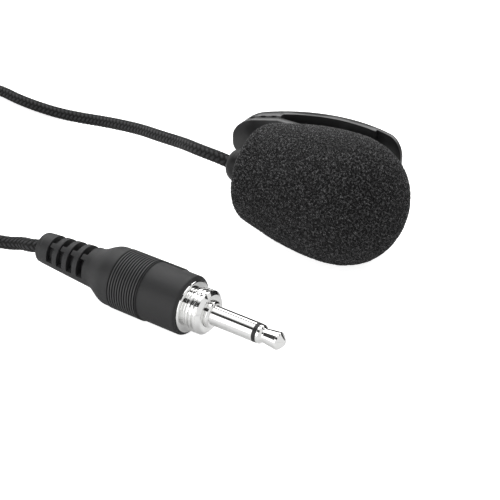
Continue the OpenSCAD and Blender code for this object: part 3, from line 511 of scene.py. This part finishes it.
def foam_finish():
    """Reticulated polyurethane foam: charcoal struts round pores painted near black as shade. Here
    and there a strut has a painted glint."""
    material, tree, shader, place = finish("charcoal open-cell foam")
    strut = add(tree, "ShaderNodeAttribute", attribute_name="strut").outputs["Fac"]
    # The pores are painted near black: painted shade in the pits. The struts are charcoal.
    colour = add(tree, MIX, {0: strut, 6: srgb("#020202"), 7: srgb("#202021")}, data_type="RGBA")
    # Painted glints on single struts, no more than a quarter of a pore across
    glint_noise = add(tree, NOISE, {"Vector": place, "Scale": 4 / PORE, "Detail": 0.0})
    glint = add(tree, RANGE, {0: glint_noise, 1: 0.61, 2: 0.7})
    glint = add(tree, MATH, {0: glint, 1: strut}, operation="MULTIPLY")
    colour = add(tree, MIX, {0: glint, 6: colour.outputs[2], 7: srgb("#a4a4a5")}, data_type="RGBA")
    feed(tree, shader, {"Base Color": colour.outputs[2], "Roughness": 0.85,
                        "Specular IOR Level": 0.25, "Sheen Weight": 0.06, "Sheen Roughness": 0.5})
    return material


braid = braid_finish()
foam = foam_finish()

NODE_FINISHES = {
    anodised: ["housing_barrel", "grille_cap"],
    wire_mesh: ["grille_mesh"],
    felt: ["dust_felt"],
    can_aluminium: ["capsule_can"],
    brass: ["diaphragm_ring", "backplate", "contact_ring", "plug_tip_lug", "plug_sleeve_lug"],
    film: ["diaphragm"],
    cream_plastic: ["spacer", "backplate_holder", "plug_rear_insulator"],
    chip_epoxy: ["fet"],
    board: ["capsule_board"],
    solder: ["solder_joints"],
    gland_rubber: ["capsule_gasket", "cable_gland"],
    wire_red: ["signal_wire", "plug_signal_wire"],
    wire_copper: ["shield_wire", "plug_shield_wire"],
    spring_steel: ["cable_anchor", "clip_pin", "clip_spring", "clip_spring_leg", "plug_crimp"],
    clip_abs: ["clip_fixed_jaw", "clip_lever"],
    tie_tape: ["coil_tie"],
    soft_pvc: ["plug_overmould"],
    inner_abs: ["plug_premould"],
    nickel_plate: ["plug_collar", "plug_sleeve", "plug_tip"],
    acetal: ["plug_insulator"],
    foam: ["foam_windscreen"],
    braid: ["mic_cable", "cable_coil", "plug_cable"],
}
for material, names in NODE_FINISHES.items():
    for name in names:
        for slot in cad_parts[name].material_slots:
            slot.material = material


# ---- windscreen ----

foam_low, foam_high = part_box("foam_windscreen")
# The microphone's axis, where it leaves the foam's rear end
HEAD = Vector((foam_low.x, (foam_low.y + foam_high.y) / 2, (foam_low.z + foam_high.z) / 2))
# Millimetres, from the foam's rear end on its axis
FOAM_R = 12.35
FOAM_BODY = 18.5
FOAM_NOSE = 13.3
NOSE_POWER = 2.25
FOAM_REAR_R = 9.35
FOAM_EDGE = 1.8
# Radius and depth of the bore for the barrel, and of the recess for the clip's ring
FOAM_BORE = (4.4, 16.9)
FOAM_RECESS = (5.5, 2.4)
# Points round the foam, and the distance between its rows on the skin and in the bore
FOAM_COLUMNS = 520
SKIN_STEP = 0.15
BORE_STEP = 0.6
# Depth of the pores, and of the slow rise and fall of the skin
PIT_DEPTH = 0.26
UNEVEN = 0.16


def on_head(x, y, z):
    """Place in metres of a point given in millimetres from the foam's rear end, on its axis."""
    return (HEAD.x + x * MM, HEAD.y + y * MM, HEAD.z + z * MM)


def divided(corners, step):
    """Profile with points no further than a step apart, its corners kept."""
    path = [corners[0]]
    for (x0, r0), (x1, r1) in zip(corners, corners[1:]):
        parts = max(1, math.ceil(math.hypot(x1 - x0, r1 - r0) / step))
        path += [(x0 + (x1 - x0) * i / parts, r0 + (r1 - r0) * i / parts)
                 for i in range(1, parts + 1)]
    return path


def foam_outline():
    """Outside of the foam from its rear face over the widest ring to the tip of its nose."""
    body = [FOAM_EDGE * (1 - math.cos(a)) for a in np.linspace(0, math.pi / 2, 12)]
    body += list(np.linspace(FOAM_EDGE, FOAM_BODY, 40))[1:]
    outline = []
    for x in body:
        edge = FOAM_EDGE - math.sqrt(FOAM_EDGE ** 2 - (FOAM_EDGE - min(x, FOAM_EDGE)) ** 2)
        outline.append((x, FOAM_REAR_R + (FOAM_R - FOAM_REAR_R)
                        * math.sin(math.pi / 2 * x / FOAM_BODY) - edge))
    for a in np.linspace(0, math.pi / 2, 60)[1:]:
        outline.append((FOAM_BODY + FOAM_NOSE * math.sin(a) ** (2 / NOSE_POWER),
                        FOAM_R * max(0.0, math.cos(a)) ** (2 / NOSE_POWER)))
    outline[-1] = (FOAM_BODY + FOAM_NOSE, 0.0)
    return outline


def new_tree(name, sizes):
    """Geometry Nodes tree that takes a blank piece and the named sizes, in metres, and the sockets
    that give them."""
    tree = bpy.data.node_groups.new(name, "GeometryNodeTree")
    tree.interface.new_socket("Blank", in_out="INPUT", socket_type="NodeSocketGeometry")
    for size in sizes:
        tree.interface.new_socket(size, in_out="INPUT", socket_type="NodeSocketFloat")
    tree.interface.new_socket("Piece", in_out="OUTPUT", socket_type="NodeSocketGeometry")
    given = add(tree, "NodeGroupInput").outputs
    return tree, [given[socket] for socket in ["Blank"] + sizes]


def end_tree(tree, geometry, material):
    """Ends a tree with real geometry in one material."""
    real = add(tree, "GeometryNodeRealizeInstances", {0: geometry})
    dressed = add(tree, "GeometryNodeSetMaterial", {0: real, "Material": material})
    add(tree, "NodeGroupOutput", {0: dressed})


def grown(name, blank, tree, sizes):
    """Plain piece that a Geometry Nodes tree makes from a blank."""
    growth = blank.modifiers.new(name, "NODES")
    growth.node_group = tree
    for size, value in sizes.items():
        growth[tree.interface.items_tree[size].identifier] = value
    return settled(name, blank)


def settled(name, blank):
    """Plain piece from a blank with its modifiers applied. The blank is thrown away."""
    depsgraph = bpy.context.evaluated_depsgraph_get()
    mesh = bpy.data.meshes.new_from_object(blank.evaluated_get(depsgraph),
                                           preserve_all_data_layers=True, depsgraph=depsgraph)
    rough_mesh = blank.data
    bpy.data.objects.remove(blank)
    bpy.data.meshes.remove(rough_mesh)
    return new_object(name, mesh)


pores, (blank, pore_size, pit_depth, unevenness, seed) = new_tree(
    "open cell foam", ["Pore size", "Pit depth", "Unevenness", "Seed"])
here = add(pores, "GeometryNodeInputPosition")
normal = add(pores, "GeometryNodeInputNormal")
per_pore = add(pores, MATH, {0: 1.0, 1: pore_size}, operation="DIVIDE")
in_pores = add(pores, VECTOR, {0: here, "Scale": per_pore}, operation="SCALE")
in_pores = add(pores, VECTOR, {0: in_pores, 1: seed}, operation="ADD")
cells = add(pores, "ShaderNodeTexVoronoi", {"Vector": in_pores, "Scale": 1.0})
strut = add(pores, RANGE, {0: cells.outputs["Distance"], 1: 0.25, 2: 0.8},
            interpolation_type="SMOOTHSTEP")
kept = add(pores, "GeometryNodeStoreNamedAttribute",
           {"Geometry": blank, "Name": "strut", "Value": strut}, data_type="FLOAT")
# Struts stand out and pores sink in by about as much, so the foam keeps its size
sunk = add(pores, MATH, {0: strut, 1: 0.45}, operation="SUBTRACT")
sunk = add(pores, MATH, {0: sunk, 1: pit_depth}, operation="MULTIPLY")
broad = add(pores, NOISE, {"Vector": in_pores, "Scale": 0.09, "Detail": 1.0})
broad = add(pores, MATH, {0: broad, 1: 0.6}, operation="SUBTRACT")
moved = add(pores, MATH, {0: broad, 1: unevenness, 2: sunk}, operation="MULTIPLY_ADD")
offset = add(pores, VECTOR, {0: normal, "Scale": moved}, operation="SCALE")
pitted = add(pores, "GeometryNodeSetPosition", {"Geometry": kept, "Offset": offset})
end_tree(pores, pitted, foam)

bore = [(FOAM_BORE[1], 0.0), FOAM_BORE[::-1], (FOAM_RECESS[1], FOAM_BORE[0]),
        FOAM_RECESS[::-1], (0.0, FOAM_RECESS[0])]
outside = foam_outline()
blank_foam = turned("blank_foam", divided(bore, BORE_STEP)
                    + divided([bore[-1], outside[0]], SKIN_STEP)[1:]
                    + divided(outside, SKIN_STEP)[1:], on_head, FOAM_COLUMNS)
windscreen = grown("windscreen", blank_foam, pores,
                   {"Pore size": PORE * MM, "Pit depth": PIT_DEPTH * MM, "Unevenness": UNEVEN * MM,
                    "Seed": 7.0})
windscreen.data.shade_smooth()
dress(windscreen, foam, "windscreen", "foam", "foam_windscreen")

# ---- clip, gland and barrel ----


# Points nearer than this are one point
SAME_POINT = 0.003 * MM
# Bends in degrees: the most that a flat face has, and the least of an edge that is rounded
FLAT_BEND = 0.6
EDGE_BEND = 32


def softened(name, node, width, material, body, slot, segments=2):
    """Finished copy of a CAD node with its edges rounded to a width in millimetres."""
    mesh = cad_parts[node].data.copy()
    mesh.materials.clear()
    shell = bmesh.new()
    shell.from_mesh(mesh)
    bmesh.ops.remove_doubles(shell, verts=shell.verts, dist=SAME_POINT)
    # Joins the flat triangles, so that only real edges are rounded
    bmesh.ops.dissolve_limit(shell, angle_limit=math.radians(FLAT_BEND), verts=shell.verts,
                             edges=shell.edges)
    shell.to_mesh(mesh)
    shell.free()
    piece = new_object("blank_" + name, mesh)
    rounding = piece.modifiers.new("rounding", "BEVEL")
    rounding.limit_method = "ANGLE"
    rounding.angle_limit = math.radians(EDGE_BEND)
    rounding.width = width * MM
    rounding.segments = segments
    piece = settled(name, piece)
    smooth(piece, 35)
    dress(piece, material, body, slot, node)


softened("jaw", "clip_fixed_jaw", 0.14, clip_abs, "clip", "clip_plastic")
softened("sprung_jaw", "clip_lever", 0.14, clip_abs, "lever", "clip_plastic")
softened("pin", "clip_pin", 0.12, spring_steel, "clip", "steel", 3)
softened("front_cap", "grille_cap", 0.08, anodised, "microphone", "barrel")
softened("tie", "coil_tie", 0.25, tie_tape, "microphone", "tie", 3)

# Millimetres, from the foam's rear end on its axis
BARREL_R = 4.25
BARREL_BORE_R = 3.3
BARREL_ENDS = (-2.4, 15.7)
BARREL_CHAMFER = 0.3
# Radius and half width of the groove for the clip's ring
RING_GROOVE = (3.9, 1.9)
barrel = turned("barrel", eased([
    (BARREL_ENDS[0], BARREL_BORE_R), (BARREL_ENDS[0], BARREL_R - BARREL_CHAMFER, 0.08),
    (BARREL_ENDS[0] + BARREL_CHAMFER, BARREL_R, 0.08), (-RING_GROOVE[1], BARREL_R, 0.04),
    (-RING_GROOVE[1], RING_GROOVE[0]), (RING_GROOVE[1], RING_GROOVE[0]),
    (RING_GROOVE[1], BARREL_R, 0.04), (BARREL_ENDS[1], BARREL_R, 0.05),
    (BARREL_ENDS[1], BARREL_BORE_R)]), on_head)
dress(barrel, anodised, "microphone", "barrel", "housing_barrel")

GLAND_R = 3.5
GLAND_LEN = 3.3
GLAND_POWER = 2.7
# Length of the gland that is straight before its dome starts
GLAND_RIM = 0.05
# Radius of the gland's stem, and how far in it ends
GLAND_STEM = (3.28, 1.7)
CABLE_HOLE_R = 1.4
gland_rear = math.acos((CABLE_HOLE_R / GLAND_R) ** (GLAND_POWER / 2))
gland_squeeze = (GLAND_LEN - GLAND_RIM) / math.sin(gland_rear) ** (2 / GLAND_POWER)
dome = [(BARREL_ENDS[0] - GLAND_RIM - gland_squeeze * math.sin(a) ** (2 / GLAND_POWER),
         GLAND_R * math.cos(a) ** (2 / GLAND_POWER)) for a in np.linspace(gland_rear, 0, 36)]
gland = turned("gland", dome + [(BARREL_ENDS[0], GLAND_R), (BARREL_ENDS[0], GLAND_STEM[0]),
                                GLAND_STEM[::-1], (GLAND_STEM[1], CABLE_HOLE_R)], on_head)
dress(gland, gland_rubber, "microphone", "rubber", "cable_gland")

# The spring is wound round the pin in two halves, one for each jaw. Millimetres from the foam's
# rear end on its axis.
PIVOT = (8.3, 17.0)
SPRING_WIRE_R = 0.18
SPRING_COIL_R = 1.05
SPRING_PITCH = 0.45
SPRING_POINTS_PER_TURN = 36
# How far its leg has left the coil at its first point, as a share of the leg
LEG_START = 0.12


def spring(name, turns, first_z, last_z, side, leg_end):
    """Wound wire that ends at its side of the pin and runs out to a point beside its jaw, which is
    given from the pivot."""
    path = []
    for t in np.linspace(0, 1, int(turns * SPRING_POINTS_PER_TURN)):
        a = side * (math.pi / 2 + 2 * math.pi * turns * (1 - t))
        path.append(on_head(PIVOT[0] + SPRING_COIL_R * math.cos(a),
                            PIVOT[1] + SPRING_COIL_R * math.sin(a),
                            first_z + (last_z - first_z) * t))
    for t in np.linspace(LEG_START, 1, 10):
        rise = side * SPRING_COIL_R + (leg_end[1] - side * SPRING_COIL_R) * t
        path.append(on_head(PIVOT[0] + leg_end[0] * t, PIVOT[1] + rise, last_z))
    wire = tube(name, np.array(path), SPRING_WIRE_R * MM, 12)
    smooth(wire, 50)
    return wire


jaw_spring = spring("jaw_spring", 2.3, 0.15, -2 * SPRING_PITCH, -1, (6.0, -2.167))
dress(jaw_spring, spring_steel, "clip", "steel", "clip_spring")
lever_spring = spring("lever_spring", 1.3, 2.25 * SPRING_PITCH, SPRING_PITCH, 1, (6.0, 2.825))
dress(lever_spring, spring_steel, "lever", "steel", "clip_spring_leg")

# ---- woven mesh behind the front cap ----

MESH_R = 3.28
WIRE_SPACING = 0.3
WIRE_R = 0.05
MESH_X = 15.6
# Points that each wire bends at, for every wire that it crosses
BENDS_PER_CROSSING = 4

weave, (_, disc_r, spacing, wire_r) = new_tree(
    "woven wire", ["Disc radius", "Wire spacing", "Wire radius"])
# An odd number of wires, so that one crosses the middle
half_way = add(weave, MATH, {0: disc_r, 1: spacing}, operation="DIVIDE")
half_way = add(weave, MATH, {0: half_way}, operation="FLOOR")
wires = add(weave, MATH, {0: half_way, 1: 2.0, 2: 1.0}, operation="MULTIPLY_ADD")
edge = add(weave, MATH, {0: half_way, 1: spacing}, operation="MULTIPLY")
edge, left = (add(weave, MATH, {0: x, 1: -1.0}, operation="MULTIPLY") for x in (edge, disc_r))
start = add(weave, JOIN, {1: edge})
step = add(weave, JOIN, {1: spacing})
roots = add(weave, "GeometryNodeMeshLine", {"Count": wires, "Start Location": start,
                                            "Offset": step}, mode="OFFSET")
left, right = (add(weave, JOIN, {0: x}) for x in (left, disc_r))
straight = add(weave, "GeometryNodeCurvePrimitiveLine", {"Start": left, "End": right})
knuckles = add(weave, MATH, {0: wires, 1: BENDS_PER_CROSSING}, operation="MULTIPLY")
straight = add(weave, "GeometryNodeResampleCurve", {"Curve": straight, "Count": knuckles})
laid = add(weave, "GeometryNodeInstanceOnPoints", {"Points": roots, "Instance": straight})
warp = add(weave, "GeometryNodeRealizeInstances", {0: laid})
weft = add(weave, "GeometryNodeTransform", {"Geometry": warp, "Rotation": (0.0, 0.0, math.pi / 2)})
here = add(weave, "GeometryNodeInputPosition")
parts = add(weave, SPLIT, {0: here})
spread = add(weave, VECTOR, {0: here}, operation="LENGTH").outputs["Value"]
outside_disc = add(weave, MATH, {0: spread, 1: disc_r}, operation="GREATER_THAN")
# Each wire passes over one wire and under the next
phase = add(weave, MATH, {0: parts, 1: parts.outputs[1]}, operation="ADD")
phase = add(weave, MATH, {0: phase, 1: spacing}, operation="DIVIDE")
phase = add(weave, MATH, {0: phase, 1: math.pi}, operation="MULTIPLY")
wave = add(weave, MATH, {0: phase}, operation="COSINE")
wave = add(weave, MATH, {0: wave, 1: wire_r}, operation="MULTIPLY")
round_wire = add(weave, "GeometryNodeCurvePrimitiveCircle", {"Resolution": 6, "Radius": wire_r})
both_ways = add(weave, "GeometryNodeJoinGeometry")
for strands, sign in ((weft, -1.0), (warp, 1.0)):
    trimmed = add(weave, "GeometryNodeDeleteGeometry",
                  {"Geometry": strands, "Selection": outside_disc}, domain="POINT")
    lift = add(weave, MATH, {0: wave, 1: sign}, operation="MULTIPLY")
    lift = add(weave, JOIN, {2: lift})
    waved = add(weave, "GeometryNodeSetPosition", {"Geometry": trimmed, "Offset": lift})
    thick = add(weave, "GeometryNodeCurveToMesh",
                {"Curve": waved, "Profile Curve": round_wire, "Fill Caps": True})
    feed(weave, both_ways, {0: thick})
placed = add(weave, "GeometryNodeTransform",
             {"Geometry": both_ways, "Translation": on_head(MESH_X, 0, 0),
              "Rotation": (0.0, math.pi / 2, 0.0)})
end_tree(weave, placed, wire_mesh)

blank_mesh = bpy.data.meshes.new("blank_mesh")
blank_mesh.from_pydata([on_head(MESH_X, 0, 0)], [], [])
mesh_disc = grown("mesh_disc", new_object("blank_mesh", blank_mesh), weave,
                  {"Disc radius": MESH_R * MM, "Wire spacing": WIRE_SPACING * MM,
                   "Wire radius": WIRE_R * MM})
smooth(mesh_disc, 70)
dress(mesh_disc, wire_mesh, "microphone", "steel", "grille_mesh")

# ---- plug ----

plug_low, plug_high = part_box("plug_tip")
# The plug's point, on its axis
PLUG = Vector((plug_high.x, (plug_low.y + plug_high.y) / 2, (plug_low.z + plug_high.z) / 2))


def on_plug(s, y, z):
    """Place in metres of a point given in millimetres back from the plug's point, on its axis."""
    return (PLUG.x - s * MM, PLUG.y + y * MM, PLUG.z + z * MM)


# Distances back from the point, in millimetres
TIP_END = 4.85
SHAFT_START = 5.55
STEP_START = 14.0
COLLAR_START = 14.8
THREAD_START = 15.4
THREAD_END = 17.65
NECK_END = 18.2
GRIP_START = 18.9
SLEEVE_END = 20.4
COLLAR_END = 22.9
BAND_END = 26.9
PREMOULD_END = 34.92
RELIEF_END = 52.4
SHAFT_R = 1.75
STEP_R = 2.4
# The tip's rod runs through the ring and the sleeve to its lug
ROD_R = 0.7
ROD_END = 21.5
RING_R = 1.73
SLEEVE_BORE_R = 1.12
THREAD_R = 4.0
THREAD_PITCH = 0.75
THREAD_DEPTH = 0.4
# Length over which the thread runs in at its front end and out at its rear end
THREAD_RUN = 0.3
NECK_R = 3.4
FLANGE_R = 4.74
# The collar's rear part, which the grip is moulded on, and its bore
CORE_R = 4.0
CORE_BORE_R = 2.6

tip = turned("tip", eased([
    (0, 0), (0, 0.45, 0.15), (0.1, 0.65, 0.1), (0.9, 1.5, 0.12), (1.15, 1.6, 0.2),
    (3.65, 1.28, 0.25), (3.9, 1.28, 0.12), (4.35, 1.7, 0.15), (TIP_END, 1.7, 0.06),
    (TIP_END, ROD_R), (ROD_END, ROD_R, 0.1), (ROD_END, 0)]), on_plug, 96)
ring = turned("ring", eased([
    (TIP_END, ROD_R + 0.02), (TIP_END, RING_R, 0.05), (SHAFT_START, RING_R, 0.05),
    (SHAFT_START, SLEEVE_BORE_R - 0.02), (SLEEVE_END, SLEEVE_BORE_R - 0.02),
    (SLEEVE_END, ROD_R + 0.02)]), on_plug, 96)
sleeve = turned("sleeve", eased([
    (SHAFT_START, SLEEVE_BORE_R), (SHAFT_START, SHAFT_R, 0.07), (STEP_START, SHAFT_R, 0.12),
    (STEP_START, STEP_R - 0.3, 0.05), (STEP_START + 0.3, STEP_R, 0.1), (SLEEVE_END, STEP_R),
    (SLEEVE_END, SLEEVE_BORE_R)]), on_plug, 96)


def groove(turns, middle, swing):
    """Depth of a groove in each turn, from 0 to 1. A swing over one half leaves its floor or its
    ridge flat."""
    return np.clip(middle - swing * np.cos(2 * math.pi * turns), 0, 1)


def thread_cut(s, a):
    """Depth of the locking thread at s, and at an angle round the plug."""
    turns = (s - THREAD_START) / THREAD_PITCH - a / (2 * math.pi)
    run_in = np.clip((s - THREAD_START) / THREAD_RUN, 0, 1)
    run_out = np.clip((s - THREAD_END + THREAD_RUN) / THREAD_RUN, 0, 1)
    depth = THREAD_DEPTH * (groove(turns, 0.42, 0.75) * run_in * (1 - run_out) + run_out)
    return np.where((s > THREAD_START) & (s < THREAD_END + 0.001), depth, 0.0)


collar = turned("collar", eased([
    (COLLAR_START, STEP_R + 0.05), (COLLAR_START, THREAD_R - 0.6, 0.05),
    (THREAD_START, THREAD_R, 0.04), (THREAD_START + 0.06, THREAD_R)])
    + [(s, THREAD_R) for s in np.linspace(THREAD_START + 0.1, THREAD_END, 56)]
    + eased([(THREAD_END + 0.002, THREAD_R - THREAD_DEPTH), (NECK_END, NECK_R, 0.22),
             (NECK_END + 0.2, FLANGE_R - 0.2, 0.05), (NECK_END + 0.35, FLANGE_R, 0.08),
             (GRIP_START, FLANGE_R, 0.04), (GRIP_START, CORE_R), (COLLAR_END, CORE_R),
             (COLLAR_END, CORE_BORE_R), (SLEEVE_END, CORE_BORE_R), (SLEEVE_END, STEP_R + 0.05)],
            6), on_plug, 160, thread_cut)
dress(tip, nickel_plate, "microphone", "plating", "plug_tip")
dress(ring, acetal, "microphone", "insulator", "plug_insulator")
dress(sleeve, nickel_plate, "microphone", "plating", "plug_sleeve")
dress(collar, nickel_plate, "microphone", "plating", "plug_collar")

GRIP_R = 5.4
GROOVED_R = 5.6
GROOVE_PITCH = 0.533
# Grooves all the way round, and those in front of them that the smooth panel leaves out
GROOVES = 12
BACK_GROOVES = 8
GROOVE_DEPTH = 0.26
GROOVE_ROWS = 10
GROOVES_END = BAND_END + GROOVES * GROOVE_PITCH
BACK_START = BAND_END - BACK_GROOVES * GROOVE_PITCH
FLARE_START = GROOVES_END + 1.8
FLARE_LEN = 4.75
FLARE_R = 5.5
RELIEF_FRONT_R = 3.75
RELIEF_REAR_R = 2.9
# Radius of the room inside the grip, which the inner moulding fills
CAVITY_R = 4.02
# Distance between rows of points along the strain relief
RELIEF_STEP = 0.3
# Slots in the strain relief, counted forward from the one nearest its end
LAST_SLOT = RELIEF_END - 3.7
SLOT_PITCH = 2.5
SLOT_ROWS = 4
SLOT_MIDDLES = [LAST_SLOT - SLOT_PITCH * i for i in range(SLOT_ROWS)]
SLOT_W = 1.35
SLOT_FLOOR_R = 2.2
# Angles in degrees round the plug, from +Y towards +Z
PANEL = (60, 250)
SLOTS = [(131, 186), (240, 295), (313, 473)]
SLITS = [(112, 132), (294, 314)]
# Width and depth of the rounding at the slots' mouths, and half the gap between the rows of points
# on either side of a slot's wall
MOUTH_EDGE = 0.07
MOUTH_DEPTH = 0.06
WALL_GAP = 0.012
# Radius at which distances round the strain relief are taken
RELIEF_MIDDLE_R = 3.2


def relief_radius(s):
    """Radius behind the grooves: the flare, then the tapered strain relief."""
    t = min(1.0, max(0.0, (s - FLARE_START) / FLARE_LEN))
    u = max(0.0, (s - FLARE_START - FLARE_LEN) / (RELIEF_END - FLARE_START - FLARE_LEN))
    flare = FLARE_R + (RELIEF_FRONT_R - FLARE_R) * t * t * (3 - 2 * t)
    return flare + (RELIEF_REAR_R - RELIEF_FRONT_R) * u


def grip_cut(s, a):
    """Depth below the turned outline: the grooves, the smooth panel and the slots."""
    degrees = np.degrees(a) % 360
    in_band = (s > BAND_END) & (s < GROOVES_END)
    on_back = (s > BACK_START) & (s <= BAND_END)
    in_panel = (degrees > PANEL[0]) & (degrees < PANEL[1])
    rows = groove((s - BAND_END) / GROOVE_PITCH, 0.1, 1.1)
    depth = np.where(in_band | (on_back & ~in_panel), GROOVE_DEPTH * rows, 0.0)
    depth = np.where(on_back & in_panel, GROOVED_R - GRIP_R, depth)
    reach = np.full(np.broadcast(s, degrees).shape, RELIEF_END)
    openings = [(m - SLOT_W / 2, m + SLOT_W / 2, span) for m in SLOT_MIDDLES for span in SLOTS]
    openings += [(m + SLOT_W / 4, m + SLOT_W / 2, span) for m in SLOT_MIDDLES for span in SLITS]
    for s0, s1, (first, last) in openings:
        middle, half = (first + last) / 2, (last - first) / 2
        off = np.abs((degrees - middle + 180) % 360 - 180) - half
        # Distance outside the opening, along the plug or round it
        away = np.maximum(np.abs(s - (s0 + s1) / 2) - (s1 - s0) / 2,
                          np.radians(off) * RELIEF_MIDDLE_R)
        reach = np.minimum(reach, away)
    mouth = MOUTH_DEPTH * np.clip(1 - reach / MOUTH_EDGE, 0, 1)
    outer = np.vectorize(relief_radius)(s)
    in_relief = (s > FLARE_START + FLARE_LEN) & (s < RELIEF_END - 1)
    return np.where(in_relief, np.where(reach < 0, outer - SLOT_FLOOR_R, mouth), depth)


relief_rows = list(np.arange(GROOVES_END + 1, RELIEF_END - 1, RELIEF_STEP))
for m in SLOT_MIDDLES:
    for edge_s in (m - SLOT_W / 2, m + SLOT_W / 4, m + SLOT_W / 2):
        relief_rows += [edge_s - MOUTH_EDGE, edge_s - WALL_GAP, edge_s + WALL_GAP,
                        edge_s + MOUTH_EDGE]
groove_rows = np.arange((BACK_GROOVES + GROOVES) * GROOVE_ROWS) * GROOVE_PITCH / GROOVE_ROWS
outline = eased([(GRIP_START, CAVITY_R), (GRIP_START, GRIP_R, 0.5), (BACK_START, GRIP_R)], 8)
outline += [(s, GROOVED_R) for s in BACK_START + 0.01 + groove_rows]
outline += [(GROOVES_END + 0.01, GROOVED_R), (GROOVES_END + 0.3, GROOVED_R)]
outline += [(s, relief_radius(s)) for s in sorted(relief_rows)]
outline += eased([(RELIEF_END - 0.9, RELIEF_REAR_R), (RELIEF_END, RELIEF_REAR_R, 0.9),
                  (RELIEF_END, CABLE_HOLE_R), (PREMOULD_END, CABLE_HOLE_R),
                  (PREMOULD_END, CAVITY_R)], 8)
grip = turned("moulded_grip", outline, on_plug, 240, grip_cut)
painted_ridge_highlights(soft_pvc, PLUG.x / MM - BAND_END, GROOVE_PITCH, GROOVES)
dress(grip, soft_pvc, "microphone", "overmould", "plug_overmould")

dress(cable, braid, "microphone", "braid", "mic_cable", "cable_coil", "plug_cable")

# ---- floor and light ----

# White of the floor that only the camera and reflections see, so that no lamp has to give it
FLOOR_LIFT = 0.88
FLOOR_LIFT_IN_GLOSS = 0.1
FLOOR_HALF = 2.0
# The floor lies this far under the object
FLOOR_GAP = 0.05 * MM
# Strength of the room's light, of the white that the camera sees, and what metal sees less of it
ROOM_LIGHT = 0.28
ROOM_SEEN = 1.0
ROOM_LESS_IN_GLOSS = -0.15


def floor_finish():
    """White studio paper. The camera sees it lifted to white, with the shadows on it."""
    material, tree, shader, _ = finish("white paper")
    feed(tree, shader, {"Base Color": srgb("#f2f2f2"), "Roughness": 0.9})
    path = add(tree, "ShaderNodeLightPath")
    lift = add(tree, MATH, {0: path.outputs["Is Camera Ray"], 1: FLOOR_LIFT}, operation="MULTIPLY")
    lift = add(tree, MATH, {0: path.outputs["Is Glossy Ray"], 1: FLOOR_LIFT_IN_GLOSS, 2: lift},
               operation="MULTIPLY_ADD")
    lift = add(tree, "ShaderNodeEmission", {"Strength": lift})
    both = add(tree, "ShaderNodeAddShader", {0: shader, 1: lift})
    feed(tree, tree.nodes["Material Output"], {"Surface": both})
    return material


sheet = bpy.data.meshes.new("floor")
sheet.from_pydata([(x * FLOOR_HALF, y * FLOOR_HALF, -FLOOR_GAP)
                   for x, y in ((-1, -1), (1, -1), (1, 1), (-1, 1))], [], [(0, 1, 2, 3)])
floor = new_object("floor", sheet)
floor.data.materials.append(floor_finish())

world = bpy.data.worlds.new("studio")
bpy.context.scene.world = world
world.use_nodes = True
sky = world.node_tree
ray = add(sky, "ShaderNodeLightPath").outputs
seen = add(sky, MATH, {0: ray["Is Camera Ray"], 1: ray["Is Glossy Ray"]}, operation="MAXIMUM")
seen = add(sky, MATH, {0: seen, 1: ray["Is Transmission Ray"]}, operation="MAXIMUM")
level = add(sky, RANGE, {0: seen, 3: ROOM_LIGHT, 4: ROOM_SEEN})
level = add(sky, MATH, {0: ray["Is Glossy Ray"], 1: ROOM_LESS_IN_GLOSS, 2: level},
            operation="MULTIPLY_ADD")
feed(sky, sky.nodes["Background"], {"Strength": level, "Color": (1, 1, 1, 1)})


OBJECT_MIDDLE = Vector((-0.03, -0.01, 0.01))
# Distance of the flags from the plug's axis, and where they end along it
FLAG_REACH = 0.27
FLAG_LEFT, FLAG_RIGHT = -0.5, 0.3
# The tip's cone reflects what lies left of this x, and the shaft what lies right of it
TIP_SEES_LEFT_OF = -0.146


def softbox(name, place, size, power):
    """Rectangular lamp at a place, turned to face the object."""
    lamp = bpy.data.lights.new(name, "AREA")
    lamp.shape = "RECTANGLE"
    lamp.size, lamp.size_y = size
    lamp.energy = power
    light = new_object(name, lamp)
    light.location = place
    light.rotation_euler = (OBJECT_MIDDLE - Vector(place)).to_track_quat("-Z", "Y").to_euler()


def flag(name, left, right, first, last):
    """Black flag that only shows in reflections, where it gives bright metal its dark streaks. It
    spans the degrees from first to last about the plug's axis, from +Y towards +Z."""
    corners = []
    for x, degrees in ((left, first), (right, first), (right, last), (left, last)):
        a = math.radians(degrees)
        corners.append((x, PLUG.y + FLAG_REACH * math.cos(a), PLUG.z + FLAG_REACH * math.sin(a)))
    card = bpy.data.meshes.new(name)
    card.from_pydata(corners, [], [(0, 1, 2, 3)])
    piece = new_object(name, card)
    material, tree, shader, _ = finish("black flag")
    feed(tree, shader, {"Base Color": srgb("#202020")})
    piece.data.materials.append(material)
    piece.visible_camera = piece.visible_diffuse = False
    piece.visible_shadow = piece.visible_transmission = False


softbox("overhead_softbox", (-0.08, 0.14, 0.38), (0.62, 0.4), 1.0)
softbox("back_softbox", (-0.24, 0.31, 0.27), (0.7, 0.42), 1.6)
softbox("front_softbox", (-0.19, -0.38, 0.17), (0.6, 0.38), 0.62)
flag("overhead_flag", TIP_SEES_LEFT_OF, FLAG_RIGHT, 108, 134)
flag("side_flag", FLAG_LEFT, TIP_SEES_LEFT_OF, 94, 150)
flag("slot_flag", FLAG_LEFT, FLAG_RIGHT, 49, 63)
flag("back_flag", FLAG_LEFT, FLAG_RIGHT, -6, 27)
